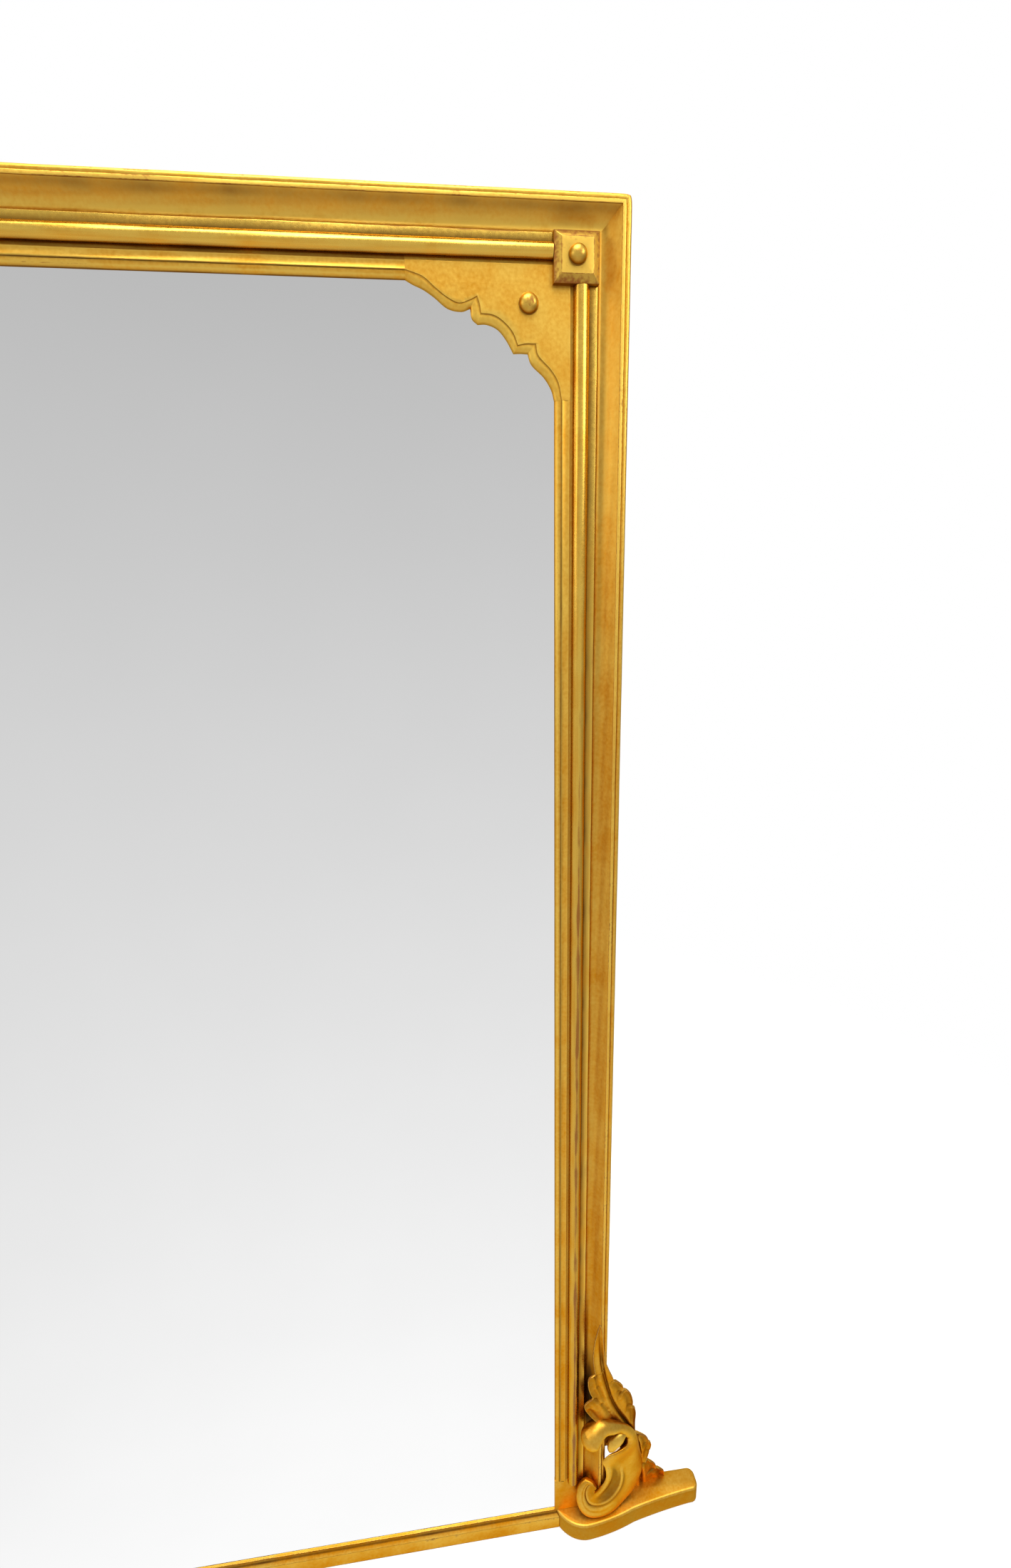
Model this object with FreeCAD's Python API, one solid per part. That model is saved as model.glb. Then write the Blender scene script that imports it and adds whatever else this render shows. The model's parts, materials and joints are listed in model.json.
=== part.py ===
import FreeCAD, Part
import math
import os

from FreeCAD import Vector

# Giltwood overmantel mirror, in millimetres. X runs to the right along the mantelshelf, the front
# faces -Y and Z is up. The origin is at the middle of the part's box, on the shelf.
# Moulding sizes "in" are measured from the frame's outer edge towards the glass.
# Levels are measured from the flat back of the frame towards the viewer.

# Whole frame
frame_width = 1260.0
stile_height = 1644.0
foot_thickness = 28.0
sight_margin = 70.0
cut_overrun = 5.0
joint_gap = 0.2

# Glass, slips and boards, from the back forward
board_thickness = 9.5
wedge_thickness = 8.0
glass_thickness = 5.0
glass_cover = 9.0
glass_play = 1.0
board_cover = 11.0
board_play = 0.5
slip_thickness = 5.0
sight_lip_thickness = 1.8
sight_lip_width = 6.7
quirk_width = 3.0
quirk_depth = 2.0

# Outer moulding: round bead, flat lip and hollow cove
bead_radius = 3.3
bead_rise = 11.5
bead_start_turn = 225.0
bead_top_turn = 125.0
bead_end_turn = 20.0
lip_width = 3.7
lip_rise = 17.5
lip_nose = 1.3
cove_width = 19.2
cove_bottom_share = 0.65
cove_depth = 15.4
cove_end_rise = 4.1

# Reed: a flat fillet and a burnished half-round on one stick
fillet_width = 8.1
fillet_rise = 5.4
half_round_width = 15.0
half_round_seat = 4.5

# Square corner block with its turned button
block_size = 43.0
block_side = 5.5
block_bevel_rise = 4.5
block_bevel_width = 7.4
button_radius = 9.0
button_rise = 8.0
spigot_radius = 3.0
spigot_length = 4.0
block_spigot_length = 7.0

# Corner spandrel with its turned boss; shares run from the corner of its front edge
spandrel_reach = 145.0
spandrel_drop = 106.0
spandrel_shares = (
    (1.0, 0.0),
    ((0.891, 0.048), (0.820, 0.125)),
    ((0.744, 0.198), (0.668, 0.241)),
    ((0.599, 0.215), (0.550, 0.183)),
    ((0.534, 0.248), (0.529, 0.315)),
    ((0.385, 0.393), (0.292, 0.570)),
    ((0.233, 0.552), (0.173, 0.546)),
    ((0.149, 0.655), (0.075, 0.763)),
    ((0.0235, 0.858), (0.0, 1.0)),
)
boss_radius = 9.5
boss_rise = 7.0
boss_across_share = 0.219
boss_down_share = 0.231

# Plain block that ends the reed and slip above the foot
base_block_height = 58.0
base_block_thickness = 3.0

# Bottom rail
rail_lip_width = 1.8
rail_cove_width = 2.2
rail_cove_drop = 5.8
rail_cove_share = 0.25
rail_ledge_width = 2.6
rail_ledge_drop = 1.8

# Shaped foot; shares of its reach run outward from the stile, shares of its depth from the back
foot_reach = 148.0
foot_depth = 49.5
foot_round_start_share = 0.39
foot_round_shares = (-0.341, 0.860)
foot_bulge_share = -0.155
foot_sweep_shares = ((0.069, 0.930), (0.300, 0.782))
foot_tail_shares = ((0.600, 0.655), (0.905, 0.566))
foot_end_radius = 10.0

# Carved bracket: acanthus leaf and scroll on one leaning, splayed plane
leaf_height = 355.0
leaf_reach = 101.0
leaf_thickness = 16.0
leaf_base_rise = 21.3
bracket_lean_share = 0.0766
bracket_splay_share = 0.158
leaf_outer_shares = (
    ((1.010, 0.075), (0.725, 0.144)),
    ((0.815, 0.245), (0.505, 0.350)),
    ((0.480, 0.500), (0.385, 0.575)),
    ((0.190, 0.660), (0.000, 0.817)),
    ((-0.035, 0.915), (-0.130, 1.000)),
)
leaf_inner_shares = (
    ((-0.242, 0.880), (-0.213, 0.766)),
    ((-0.290, 0.730), (-0.233, 0.662)),
    ((-0.330, 0.612), (-0.200, 0.570)),
)
leaf_root_share = 0.48
scroll_height = 206.0
scroll_width = 94.0
scroll_left = 43.0
scroll_thickness = 22.0
scroll_start_shares = (0.372, 0.777)
scroll_shares = (
    ((0.181, 0.740), (0.043, 0.820)),
    ((0.138, 0.922), (0.394, 0.981)),
    ((0.798, 0.874), (1.000, 0.534)),
    ((0.957, 0.267), (0.670, 0.117)),
    ((0.457, 0.030), (0.223, 0.000)),
    ((0.021, 0.078), (0.053, 0.184)),
    ((0.202, 0.252), (0.351, 0.204)),
    ((0.468, 0.301), (0.426, 0.437)),
    ((0.543, 0.485), (0.691, 0.505)),
    ((0.766, 0.544), (0.713, 0.592)),
    ((0.489, 0.650), (0.372, 0.777)),
)

# Backboards and their screws
side_board_count = 3
board_lap = 8.0
board_screw_radius = 1.75
board_screw_head_radius = 3.6
board_screw_head_depth = 2.2
board_screw_length = 17.0
screw_slot_width = 0.8
screw_slot_depth = 0.9
screw_end_share = 0.5
board_screw_shares = (0.25, 0.75)
side_screw_count = 5

# Wooden wedges behind the glass
wedge_width = 14.0
wedge_length = 60.0
side_wedge_count = 4
rail_wedge_count = 3
middle_share = 0.5

# Hidden loose tongue in each mitre
tongue_length = 34.0
tongue_width = 16.0
tongue_thickness = 4.0
tongue_level = 12.0
tongue_in = 25.0

# Screws up through each foot into its stile
foot_screw_radius = 2.5
foot_screw_head_radius = 5.0
foot_screw_head_depth = 3.0
foot_screw_length = 75.0
foot_screw_in_shares = (0.22, 0.55)
foot_screw_level = 11.0

# Dowels: bottom rail into foot, and bracket into foot
rail_dowel_radius = 3.0
rail_dowel_length = 40.0
rail_dowel_level_shares = (0.47, 0.78)
rail_dowel_rise_share = 0.5
bracket_dowel_radius = 3.0
bracket_dowel_length = 20.0
leaf_dowel_out_shares = (0.20, 0.55)
leaf_dowel_depth_share = 0.5

# Strap hangers with their D rings, on the back of the stiles
hanger_drop = 330.0
strap_width = 18.0
strap_length = 66.0
strap_thickness = 1.5
strap_end_radius = 6.0
ring_wire_radius = 2.0
ring_bar_length = 26.0
ring_corner_radius = 5.0
ring_play = 0.3
ring_back_clearance = 0.6
hanger_screw_radius = 1.9
hanger_screw_head_radius = 3.8
hanger_screw_head_depth = 1.6
hanger_screw_length = 16.0
hanger_screw_shares = (0.62, 0.86)

# Derived levels, from the back of the frame forward
wedge_level = board_thickness
glass_back = board_thickness + wedge_thickness
glass_front = glass_back + glass_thickness
flat_level = glass_front + slip_thickness
sight_lip_level = glass_front + sight_lip_thickness
lip_level = glass_front + lip_rise
bead_level = glass_front + bead_rise
reed_crest = glass_front + half_round_seat + half_round_width / 2
block_top = flat_level + block_side + block_bevel_rise
rail_front = glass_front + rail_lip_width + rail_cove_width + rail_ledge_width

# Derived places across the moulding, from the outer edge in
bead_side = bead_radius * (1 + math.cos(math.radians(bead_start_turn)))
lip_out = bead_radius * (1 + math.cos(math.radians(bead_end_turn)))
lip_in = lip_out + lip_width
reed_out = lip_in + cove_width
half_round_out = reed_out + fillet_width
reed_in = half_round_out + half_round_width
front_edge_in = sight_margin - sight_lip_width
glass_edge = sight_margin - glass_cover
glass_wall = glass_edge - glass_play
board_wall = glass_wall - board_cover
board_edge = board_wall + board_play
block_in = reed_out + block_size

# Derived frame heights and the depth of the whole part, which the origin is centred on
top_z = foot_thickness + stile_height
half_width = frame_width / 2
ring_axis = strap_thickness + ring_back_clearance + ring_wire_radius


def bracket_level(out, up):
    """Level of the leaf's face at a distance out from the stile and up from the foot."""
    return leaf_base_rise - bracket_splay_share * out + bracket_lean_share * up


def scroll_levels():
    """Levels of the scroll's face all along its outline."""
    points = [point for step in scroll_shares for point in step]
    return [
        bracket_level(a * scroll_width - scroll_left, u * scroll_height) + scroll_thickness
        for a, u in points
    ]


bracket_front = max(scroll_levels())
back_y = bracket_front / 2 - ring_axis


def y_at(level):
    """Y of a point at a level in front of the frame's back."""
    return back_y - level


def stile_point(inward, level, z=foot_thickness):
    """Point across the right stile's moulding."""
    return Vector(half_width - inward, y_at(level), z)


def top_point(inward, level, x=-half_width):
    """Point across the top rail's moulding."""
    return Vector(x, y_at(level), top_z - inward)


def front_point(x, z, level):
    """Point seen from the front, at a level."""
    return Vector(x, y_at(level), z)


def closed_face(start, steps, place):
    """Face in a closed outline. A step is an end point, or a pair: a point on an arc and its end."""
    edges = []
    here = start
    for step in [*steps, start]:
        arc = isinstance(step[0], tuple)
        there = step[1] if arc else step
        if arc:
            edges.append(Part.Arc(place(*here), place(*step[0]), place(*there)).toShape())
        elif there != here:
            edges.append(Part.makeLine(place(*here), place(*there)))
        here = there
    return Part.Face(Part.Wire(edges))


def slab(x_low, x_high, z_low, z_high, level_low, level_high):
    """Box between two heights and two levels."""
    corner = Vector(x_low, y_at(level_high), z_low)
    return Part.makeBox(x_high - x_low, level_high - level_low, z_high - z_low, corner)


def mirrored(shape):
    """The left-hand twin of a right-hand piece."""
    return shape.mirror(Vector(0, 0, 0), Vector(1, 0, 0))


def both_sides(shapes):
    """A list of right-hand shapes with their left-hand twins."""
    return [*shapes, *[mirrored(shape) for shape in shapes]]


def cut_all(shape, tools):
    """Shape with every tool cut out of it."""
    return shape.cut(Part.makeCompound(tools))


def one_solid(shape):
    """The shape's only solid."""
    return shape.removeSplitter().Solids[0]


def bead_point(turn):
    """Point on the outer bead at an angle."""
    along = math.cos(math.radians(turn))
    up = math.sin(math.radians(turn))
    return (bead_radius * (1 + along), bead_level + bead_radius * up)


def carcass_section(place):
    """Section of the outer moulding with its rebates for glass and boards."""
    cove_bottom = (lip_in + cove_bottom_share * cove_width, lip_level - cove_depth)
    cove_end = (reed_out, glass_front + cove_end_rise)
    steps = [
        bead_point(bead_start_turn),
        (bead_point(bead_top_turn), bead_point(bead_end_turn)),
        (lip_out, lip_level),
        (lip_in, lip_level),
        (lip_in, lip_level - lip_nose),
        (cove_bottom, cove_end),
        (reed_out, glass_front),
        (glass_wall, glass_front),
        (glass_wall, wedge_level),
        (board_wall, wedge_level),
        (board_wall, 0.0),
    ]
    return closed_face((bead_side, 0.0), steps, place)


def mitre_wedge(inner_side):
    """Wedge that trims one side of the right-hand mitre: the stile's top, or the rail's end."""
    out_x = half_width + cut_overrun
    out_z = top_z + cut_overrun
    in_x = half_width - sight_margin
    in_z = top_z - sight_margin
    third = (in_x, out_z) if inner_side else (out_x, in_z)
    face = closed_face((out_x, out_z), [(in_x, in_z), third], lambda x, z: front_point(x, z, 0.0))
    deep = lip_level + cut_overrun
    return face.extrude(Vector(0, -deep, 0))


def stile_prism():
    """The right stile's moulding before its joints are cut."""
    return carcass_section(stile_point).extrude(Vector(0, 0, stile_height))


def mitre_tongue(play=0.0):
    """Loose tongue across the right-hand mitre, square to its face."""
    long = tongue_length / 2 + play
    wide = tongue_width / 2 + play
    thick = tongue_thickness / 2 + play
    tongue = Part.makeBox(2 * long, 2 * thick, 2 * wide, Vector(-long, -thick, -wide))
    tongue.rotate(Vector(0, 0, 0), Vector(0, 1, 0), math.degrees(math.atan(1)))
    tongue.translate(front_point(half_width - tongue_in, top_z - tongue_in, tongue_level))
    return tongue


def countersunk_screw(radius, head_radius, head_depth, length, tip, turn_axis, turn):
    """Countersunk wood screw with a driver slot; it points along Z, then is turned and put at its head."""
    head = Part.makeCone(head_radius, radius, head_depth)
    shank = Part.makeCylinder(radius, length - head_depth, Vector(0, 0, head_depth))
    slot_size = (2 * head_radius, screw_slot_width, screw_slot_depth)
    slot = Part.makeBox(*slot_size, Vector(-head_radius, -screw_slot_width / 2, 0))
    screw = head.fuse(shank).removeSplitter()
    slotted = screw.cut(slot)
    for solid in (screw, slotted):
        solid.rotate(Vector(0, 0, 0), turn_axis, turn)
        solid.translate(tip)
    return one_solid(slotted), one_solid(screw)


def board_screw(x, z):
    """Screw through a backboard into the frame; returns the screw and its hole."""
    head = front_point(x, z, 0.0)
    sizes = (board_screw_radius, board_screw_head_radius, board_screw_head_depth, board_screw_length)
    return countersunk_screw(*sizes, head, Vector(1, 0, 0), 90)


def board_pitch():
    """Width that each backboard covers."""
    return (half_width - board_edge) / side_board_count


def board_low():
    """Height of the bottom rail's seat for the boards."""
    return foot_thickness - glass_cover - glass_play - board_cover


def board_screw_places():
    """Where the right half's screws go: two at each end of every board, and a row along the stile."""
    low = board_low() + screw_end_share * board_cover
    high = top_z - board_wall - screw_end_share * board_cover
    places = []
    for i in range(side_board_count):
        for share in board_screw_shares:
            x = (i + share) * board_pitch()
            places += [(x, low), (x, high)]
    side = half_width - board_wall - screw_end_share * board_cover
    for i in range(side_screw_count):
        places.append((side, low + (i + 1) * (high - low) / (side_screw_count + 1)))
    return places


def backboard(i):
    """One vertical board of the right half, counted from the middle; its tongue laps the next board."""
    left = i * board_pitch() + joint_gap / 2
    right = (i + 1) * board_pitch() - joint_gap / 2
    low = board_low() + board_play
    high = top_z - board_edge
    half = board_thickness / 2
    board = slab(left, right, low, high, 0.0, board_thickness)
    if i < side_board_count - 1:
        tongue = slab(right - board_lap, right + board_lap, low, high, half, board_thickness)
        board = board.fuse(tongue)
    if i > 0:
        high_cut = high + cut_overrun
        low_cut = low - cut_overrun
        deep = board_thickness + cut_overrun
        notch_end = left + board_lap
        board = board.cut(slab(left - cut_overrun, notch_end, low_cut, high_cut, half, deep))
    return board.removeSplitter()


def glass_plate():
    """The silvered plate, standing in the bottom rail's rebate."""
    x = half_width - glass_edge
    low = foot_thickness - glass_cover
    return slab(-x, x, low, top_z - glass_edge, glass_back, glass_front)


def wedges():
    """Softwood wedges glued in the rebate between the glass and the boards."""
    found = []
    low = foot_thickness - glass_cover
    high = top_z - glass_wall
    side = half_width - glass_wall
    for i in range(side_wedge_count):
        z = low + (i + middle_share) * (high - low) / side_wedge_count - wedge_length / 2
        found.append(slab(side - wedge_width, side, z, z + wedge_length, wedge_level, glass_back))
    found = both_sides(found)
    for i in range(rail_wedge_count):
        x = (i + middle_share) * 2 * side / rail_wedge_count - side - wedge_length / 2
        for z in (low, high - wedge_width):
            found.append(slab(x, x + wedge_length, z, z + wedge_width, wedge_level, glass_back))
    return found


def slip_section(place):
    """Section of the sight slip: quirk beside the reed, flat, and low lip against the glass."""
    steps = [
        (reed_in, flat_level - quirk_depth),
        (reed_in + quirk_width, flat_level - quirk_depth),
        (reed_in + quirk_width, flat_level),
        (front_edge_in, flat_level),
        (front_edge_in, sight_lip_level),
        (sight_margin, sight_lip_level),
        (sight_margin, glass_front),
    ]
    return closed_face((reed_in, glass_front), steps, place)


def reed_section(place):
    """Section of the reed stick: fillet and half-round."""
    seat = glass_front + half_round_seat
    crest = ((half_round_out + reed_in) / 2, reed_crest)
    steps = [
        (reed_out, glass_front + fillet_rise),
        (half_round_out, glass_front + fillet_rise),
        (half_round_out, seat),
        (crest, (reed_in, seat)),
        (reed_in, glass_front),
    ]
    return closed_face((reed_out, glass_front), steps, place)


def stile_stick(section, low, high):
    """A right-hand stick of a section between two heights."""
    face = section(lambda inward, level: stile_point(inward, level, low))
    return face.extrude(Vector(0, 0, high - low))


def top_stick(section, reach):
    """A stick of a section along the top rail, over the middle of the frame."""
    face = section(lambda inward, level: top_point(inward, level, -reach))
    return face.extrude(Vector(2 * reach, 0, 0))


def spandrel_front(grow):
    """The right spandrel's outline from the front, grown towards the glass."""
    corner_x = half_width - front_edge_in
    corner_z = top_z - front_edge_in

    def place(across, down):
        return front_point(corner_x - across, corner_z - down, glass_front)

    points = []
    for step in spandrel_shares[1:]:
        points.append(tuple((a * spandrel_reach, d * spandrel_drop) for a, d in step))
    back = front_edge_in - reed_out
    steps = [*points, (-back, spandrel_drop), (-back, -back), (spandrel_reach, -back)]
    face = closed_face((spandrel_reach, 0.0), steps, place)
    return face.makeOffset2D(grow, join=0) if grow else face


def spandrel():
    """Right spandrel: flat fretted panel with a low lip along its shaped edge, under the block."""
    panel = spandrel_front(0).extrude(Vector(0, -slip_thickness, 0))
    lip = spandrel_front(sight_lip_width).extrude(Vector(0, -sight_lip_thickness, 0))
    body = panel.fuse(lip)
    left = half_width - front_edge_in - spandrel_reach
    low = top_z - front_edge_in - spandrel_drop
    right = half_width - reed_out
    high = top_z - reed_out
    bounds = slab(left, right, low, high, glass_front, flat_level)
    body = body.common(bounds)
    block_x = half_width - block_in
    block_z = top_z - block_in
    reed_x = half_width - reed_in
    reed_z = top_z - reed_in
    deep = (glass_front - cut_overrun, flat_level + cut_overrun)
    shallow = (flat_level - quirk_depth, flat_level + cut_overrun)
    top_room = slab(left - cut_overrun, block_x, reed_z, high + cut_overrun, *deep)
    side_room = slab(reed_x, right + cut_overrun, low - cut_overrun, block_z, *deep)
    top_quirk = slab(left - cut_overrun, block_x, reed_z - quirk_width, high, *shallow)
    side_quirk = slab(reed_x - quirk_width, right, low - cut_overrun, block_z, *shallow)
    boss_hole = Part.makeCylinder(spigot_radius, spigot_length, boss_centre(), Vector(0, 1, 0))
    tools = [top_room, side_room, top_quirk, side_quirk, boss_hole]
    for tool in tools:
        body = body.cut(tool)
    return one_solid(body)


def boss_centre():
    """Middle of the right boss, on the spandrel's face."""
    across = front_edge_in + boss_across_share * spandrel_reach
    down = front_edge_in + boss_down_share * spandrel_drop
    return front_point(half_width - across, top_z - down, flat_level)


def turned_dome(radius, rise, spigot, centre):
    """Turned dome with a spigot behind it, facing the viewer."""
    ball_radius = (radius * radius + rise * rise) / (2 * rise)
    ball = Part.makeSphere(ball_radius, Vector(0, ball_radius - rise, 0))
    dome = ball.common(Part.makeCylinder(radius, rise, Vector(0, 0, 0), Vector(0, -1, 0)))
    pin = Part.makeCylinder(spigot_radius, spigot, Vector(0, 0, 0), Vector(0, 1, 0))
    turned = one_solid(dome.fuse(pin))
    turned.translate(centre)
    return turned


def button_centre():
    """Middle of the right corner block's face."""
    middle = reed_out + block_size / 2
    return front_point(half_width - middle, top_z - middle, block_top)


def square_wire(half, level):
    """Square outline about the middle of the right corner block, at a level."""
    middle = reed_out + block_size / 2
    x = half_width - middle
    z = top_z - middle
    corners = [(x - half, z - half), (x + half, z - half), (x + half, z + half), (x - half, z + half)]
    points = [front_point(*corner, level) for corner in corners]
    return Part.makePolygon([*points, points[0]])


def corner_block():
    """Right corner block: straight sides, then a bevel up to a small square face."""
    base = square_wire(block_size / 2, flat_level)
    arris = square_wire(block_size / 2, flat_level + block_side)
    face = square_wire(block_size / 2 - block_bevel_width, block_top)
    lower = Part.makeLoft([base, arris], True, True)
    upper = Part.makeLoft([arris, face], True, True)
    hole = Part.makeCylinder(spigot_radius, block_spigot_length, button_centre(), Vector(0, 1, 0))
    return one_solid(lower.fuse(upper).cut(hole))


def base_block():
    """Plain block that ends the right reed and slip above the foot."""
    x_low = half_width - sight_margin
    x_high = half_width - reed_out
    high = foot_thickness + base_block_height
    level = glass_front + base_block_thickness
    return slab(x_low, x_high, foot_thickness, high, glass_front, level)


def bottom_rail_prism():
    """Bottom rail with its rebates and its small cove above the front face, overlong at both ends."""
    glass_seat = foot_thickness - glass_cover
    board_seat = board_low()
    lip = glass_front + rail_lip_width
    cove_in = lip + rail_cove_width
    cove_low = foot_thickness - rail_cove_drop
    cove_mid = (lip + rail_cove_share * rail_cove_width, cove_low + rail_cove_share * rail_cove_drop)
    steps = [
        (0.0, board_seat),
        (wedge_level, board_seat),
        (wedge_level, glass_seat),
        (glass_front, glass_seat),
        (glass_front, foot_thickness),
        (lip, foot_thickness),
        (cove_mid, (cove_in, cove_low)),
        (rail_front, cove_low - rail_ledge_drop),
        (rail_front, 0.0),
    ]
    reach = half_width - reed_in
    face = closed_face((0.0, 0.0), steps, lambda level, z: Vector(-reach, y_at(level), z))
    return face.extrude(Vector(2 * reach, 0, 0))


def foot_face(grow):
    """The right foot's outline from above."""

    def place(out, level):
        return Vector(half_width + out, y_at(level), 0)

    def along(share_pair):
        return (share_pair[0] * foot_reach, share_pair[1] * foot_depth)

    inner = (-sight_margin, foot_round_start_share * foot_depth)
    bulge = (foot_bulge_share * foot_reach, foot_depth)
    tail = along(foot_tail_shares[1])
    slack = foot_end_radius * (1 - math.cos(math.atan(1)))
    end_front = (foot_reach, tail[1] - foot_end_radius)
    front_mid = (foot_reach - slack, tail[1] - slack)
    back_mid = (foot_reach - slack, slack)
    steps = [
        inner,
        (along(foot_round_shares), bulge),
        (along(foot_sweep_shares[0]), along(foot_sweep_shares[1])),
        (along(foot_tail_shares[0]), tail),
        (front_mid, end_front),
        (foot_reach, foot_end_radius),
        (back_mid, (foot_reach - foot_end_radius, 0.0)),
    ]
    face = closed_face((-sight_margin, 0.0), steps, place)
    return face.makeOffset2D(grow, join=0) if grow else face


def foot():
    """Right foot: a thick shaped board under the stile and beyond it, rebated for boards and glass."""
    left = half_width - sight_margin - cut_overrun
    high = foot_thickness + cut_overrun
    glass_seat = foot_thickness - glass_cover
    board_room = slab(left, half_width - board_wall, board_low(), high, -cut_overrun, wedge_level)
    glass_room = slab(left, half_width - glass_wall, glass_seat, high, -cut_overrun, glass_front)
    return cut_all(foot_face(0).extrude(Vector(0, 0, foot_thickness)), [board_room.fuse(glass_room)])


def foot_screws():
    """Screws up through the right foot into the stile; pairs of screw and hole."""
    found = []
    sizes = (foot_screw_radius, foot_screw_head_radius, foot_screw_head_depth, foot_screw_length)
    for share in foot_screw_in_shares:
        head = stile_point(share * board_wall, foot_screw_level, 0)
        found.append(countersunk_screw(*sizes, head, Vector(0, 0, 1), 0))
    return found


def rail_dowels():
    """Dowels between the bottom rail and the right foot."""
    found = []
    z = rail_dowel_rise_share * (foot_thickness - glass_cover)
    for share in rail_dowel_level_shares:
        start = Vector(half_width - sight_margin - rail_dowel_length / 2, y_at(share * rail_front), z)
        found.append(Part.makeCylinder(rail_dowel_radius, rail_dowel_length, start, Vector(1, 0, 0)))
    return found


def bracket_slab(front_offset, thickness):
    """Leaning slab of the carved bracket: its front face offset from the leaf's, and its thickness."""
    left = -scroll_left - cut_overrun
    right = leaf_reach + cut_overrun
    high = leaf_height + cut_overrun
    corners = []
    for out, up in ((left, 0.0), (right, 0.0), (right, high), (left, high)):
        level = bracket_level(out, up) + front_offset
        corners.append(front_point(half_width + out, foot_thickness + up, level))
    face = Part.Face(Part.makePolygon([*corners, corners[0]]))
    return face.extrude(Vector(0, thickness, 0))


def bracket_prism(start, steps, width, height, left):
    """Bracket outline in shares of a width and height, carried from the back to well in front."""

    def place(across, up):
        return front_point(half_width + across * width - left, foot_thickness + up * height, joint_gap)

    deep = bracket_front + leaf_thickness + cut_overrun
    return closed_face(start, steps, place).extrude(Vector(0, -deep, 0))


def moulding_room():
    """Space that the stile and the reed take, with a thin gap, which the carving is fitted round."""
    room = stile_prism()
    for dx, dy in ((joint_gap, 0.0), (0.0, -joint_gap), (-joint_gap, -joint_gap)):
        shifted = stile_prism()
        shifted.translate(Vector(dx, dy, 0))
        room = room.fuse(shifted)
    x_low = half_width - sight_margin
    x_high = half_width - reed_out + joint_gap
    level = glass_front + fillet_rise + joint_gap
    return room.fuse(slab(x_low, x_high, foot_thickness, top_z, 0.0, level))


def leaf(room):
    """Right acanthus leaf, a lobed plate that leans and splays, fitted to the stile and the foot."""
    steps = [*leaf_outer_shares, *leaf_inner_shares, (0.0, leaf_root_share), (0.0, 0.0)]
    prism = bracket_prism((1.0, 0.0), steps, leaf_reach, leaf_height, 0.0)
    body = prism.common(bracket_slab(0.0, leaf_thickness)).cut(room)
    return cut_all(max(body.Solids, key=lambda solid: solid.Volume), leaf_dowels())


def scroll(room):
    """Right scroll in front of the leaf: rolled top, pierced middle and lower volute on the foot."""
    prism = bracket_prism(scroll_start_shares, scroll_shares, scroll_width, scroll_height, scroll_left)
    front = bracket_slab(scroll_thickness, scroll_thickness - joint_gap)
    body = prism.common(front).cut(room)
    return max(body.Solids, key=lambda solid: solid.Volume)


def leaf_dowels():
    """Dowels that pin the right leaf to the foot."""
    found = []
    for share in leaf_dowel_out_shares:
        out = share * leaf_reach
        level = bracket_level(out, 0.0) - leaf_dowel_depth_share * leaf_thickness
        start = front_point(half_width + out, foot_thickness - bracket_dowel_length / 2, level)
        found.append(Part.makeCylinder(bracket_dowel_radius, bracket_dowel_length, start))
    return found


def hanger_axis():
    """Middle of the right D ring's bar."""
    return front_point(half_width - board_wall / 2, top_z - hanger_drop, -ring_axis)


def hanger_screws():
    """Round-headed screws of the right strap; pairs of screw and hole."""
    found = []
    axis = hanger_axis()
    for share in hanger_screw_shares:
        seat = Vector(axis.x, back_y + strap_thickness, axis.z - share * strap_length)
        head = Part.makeCylinder(hanger_screw_head_radius, hanger_screw_head_depth, seat, Vector(0, 1, 0))
        length = hanger_screw_length + strap_thickness
        shank = Part.makeCylinder(hanger_screw_radius, length, seat, Vector(0, -1, 0))
        found.append((one_solid(head.fuse(shank)), shank))
    return found


def hanger_strap():
    """Right strap: a flat plate folded into a knuckle round the ring's bar."""
    axis = hanger_axis()
    bore = ring_wire_radius + ring_play
    outer = ring_axis
    half = strap_width / 2
    start = Vector(axis.x - half, axis.y, axis.z)
    knuckle = Part.makeCylinder(outer, strap_width, start, Vector(1, 0, 0))
    corner = Vector(axis.x - half, back_y, axis.z - strap_length)
    plate = Part.makeBox(strap_width, strap_thickness, strap_length, corner)
    ends = [edge for edge in plate.Edges if end_edge(edge, corner.z)]
    plate = plate.makeFillet(strap_end_radius, ends)
    over = Vector(start.x - cut_overrun, axis.y, axis.z)
    hole = Part.makeCylinder(bore, strap_width + 2 * cut_overrun, over, Vector(1, 0, 0))
    holes = [hole, *[shank for screw, shank in hanger_screws()]]
    return one_solid(cut_all(knuckle.fuse(plate), holes))


def end_edge(edge, z):
    """Whether an edge crosses a plate's thickness at a height."""
    ends = [vertex.Point for vertex in edge.Vertexes]
    across = abs(ends[0].y - ends[1].y)
    return across > strap_thickness / 2 and max(abs(end.z - z) for end in ends) < strap_thickness / 2


def ring_bend(radius, centre, x_low, x_high, z_low, z_high):
    """Part of a round wire bend about the Y axis, kept inside a window beside its centre."""
    bend = Part.makeTorus(radius, ring_wire_radius, Vector(0, 0, 0), Vector(0, 1, 0))
    corner = Vector(x_low, -ring_wire_radius - cut_overrun, z_low)
    deep = 2 * (ring_wire_radius + cut_overrun)
    bend = bend.common(Part.makeBox(x_high - x_low, deep, z_high - z_low, corner))
    bend.translate(centre)
    return bend


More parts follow.
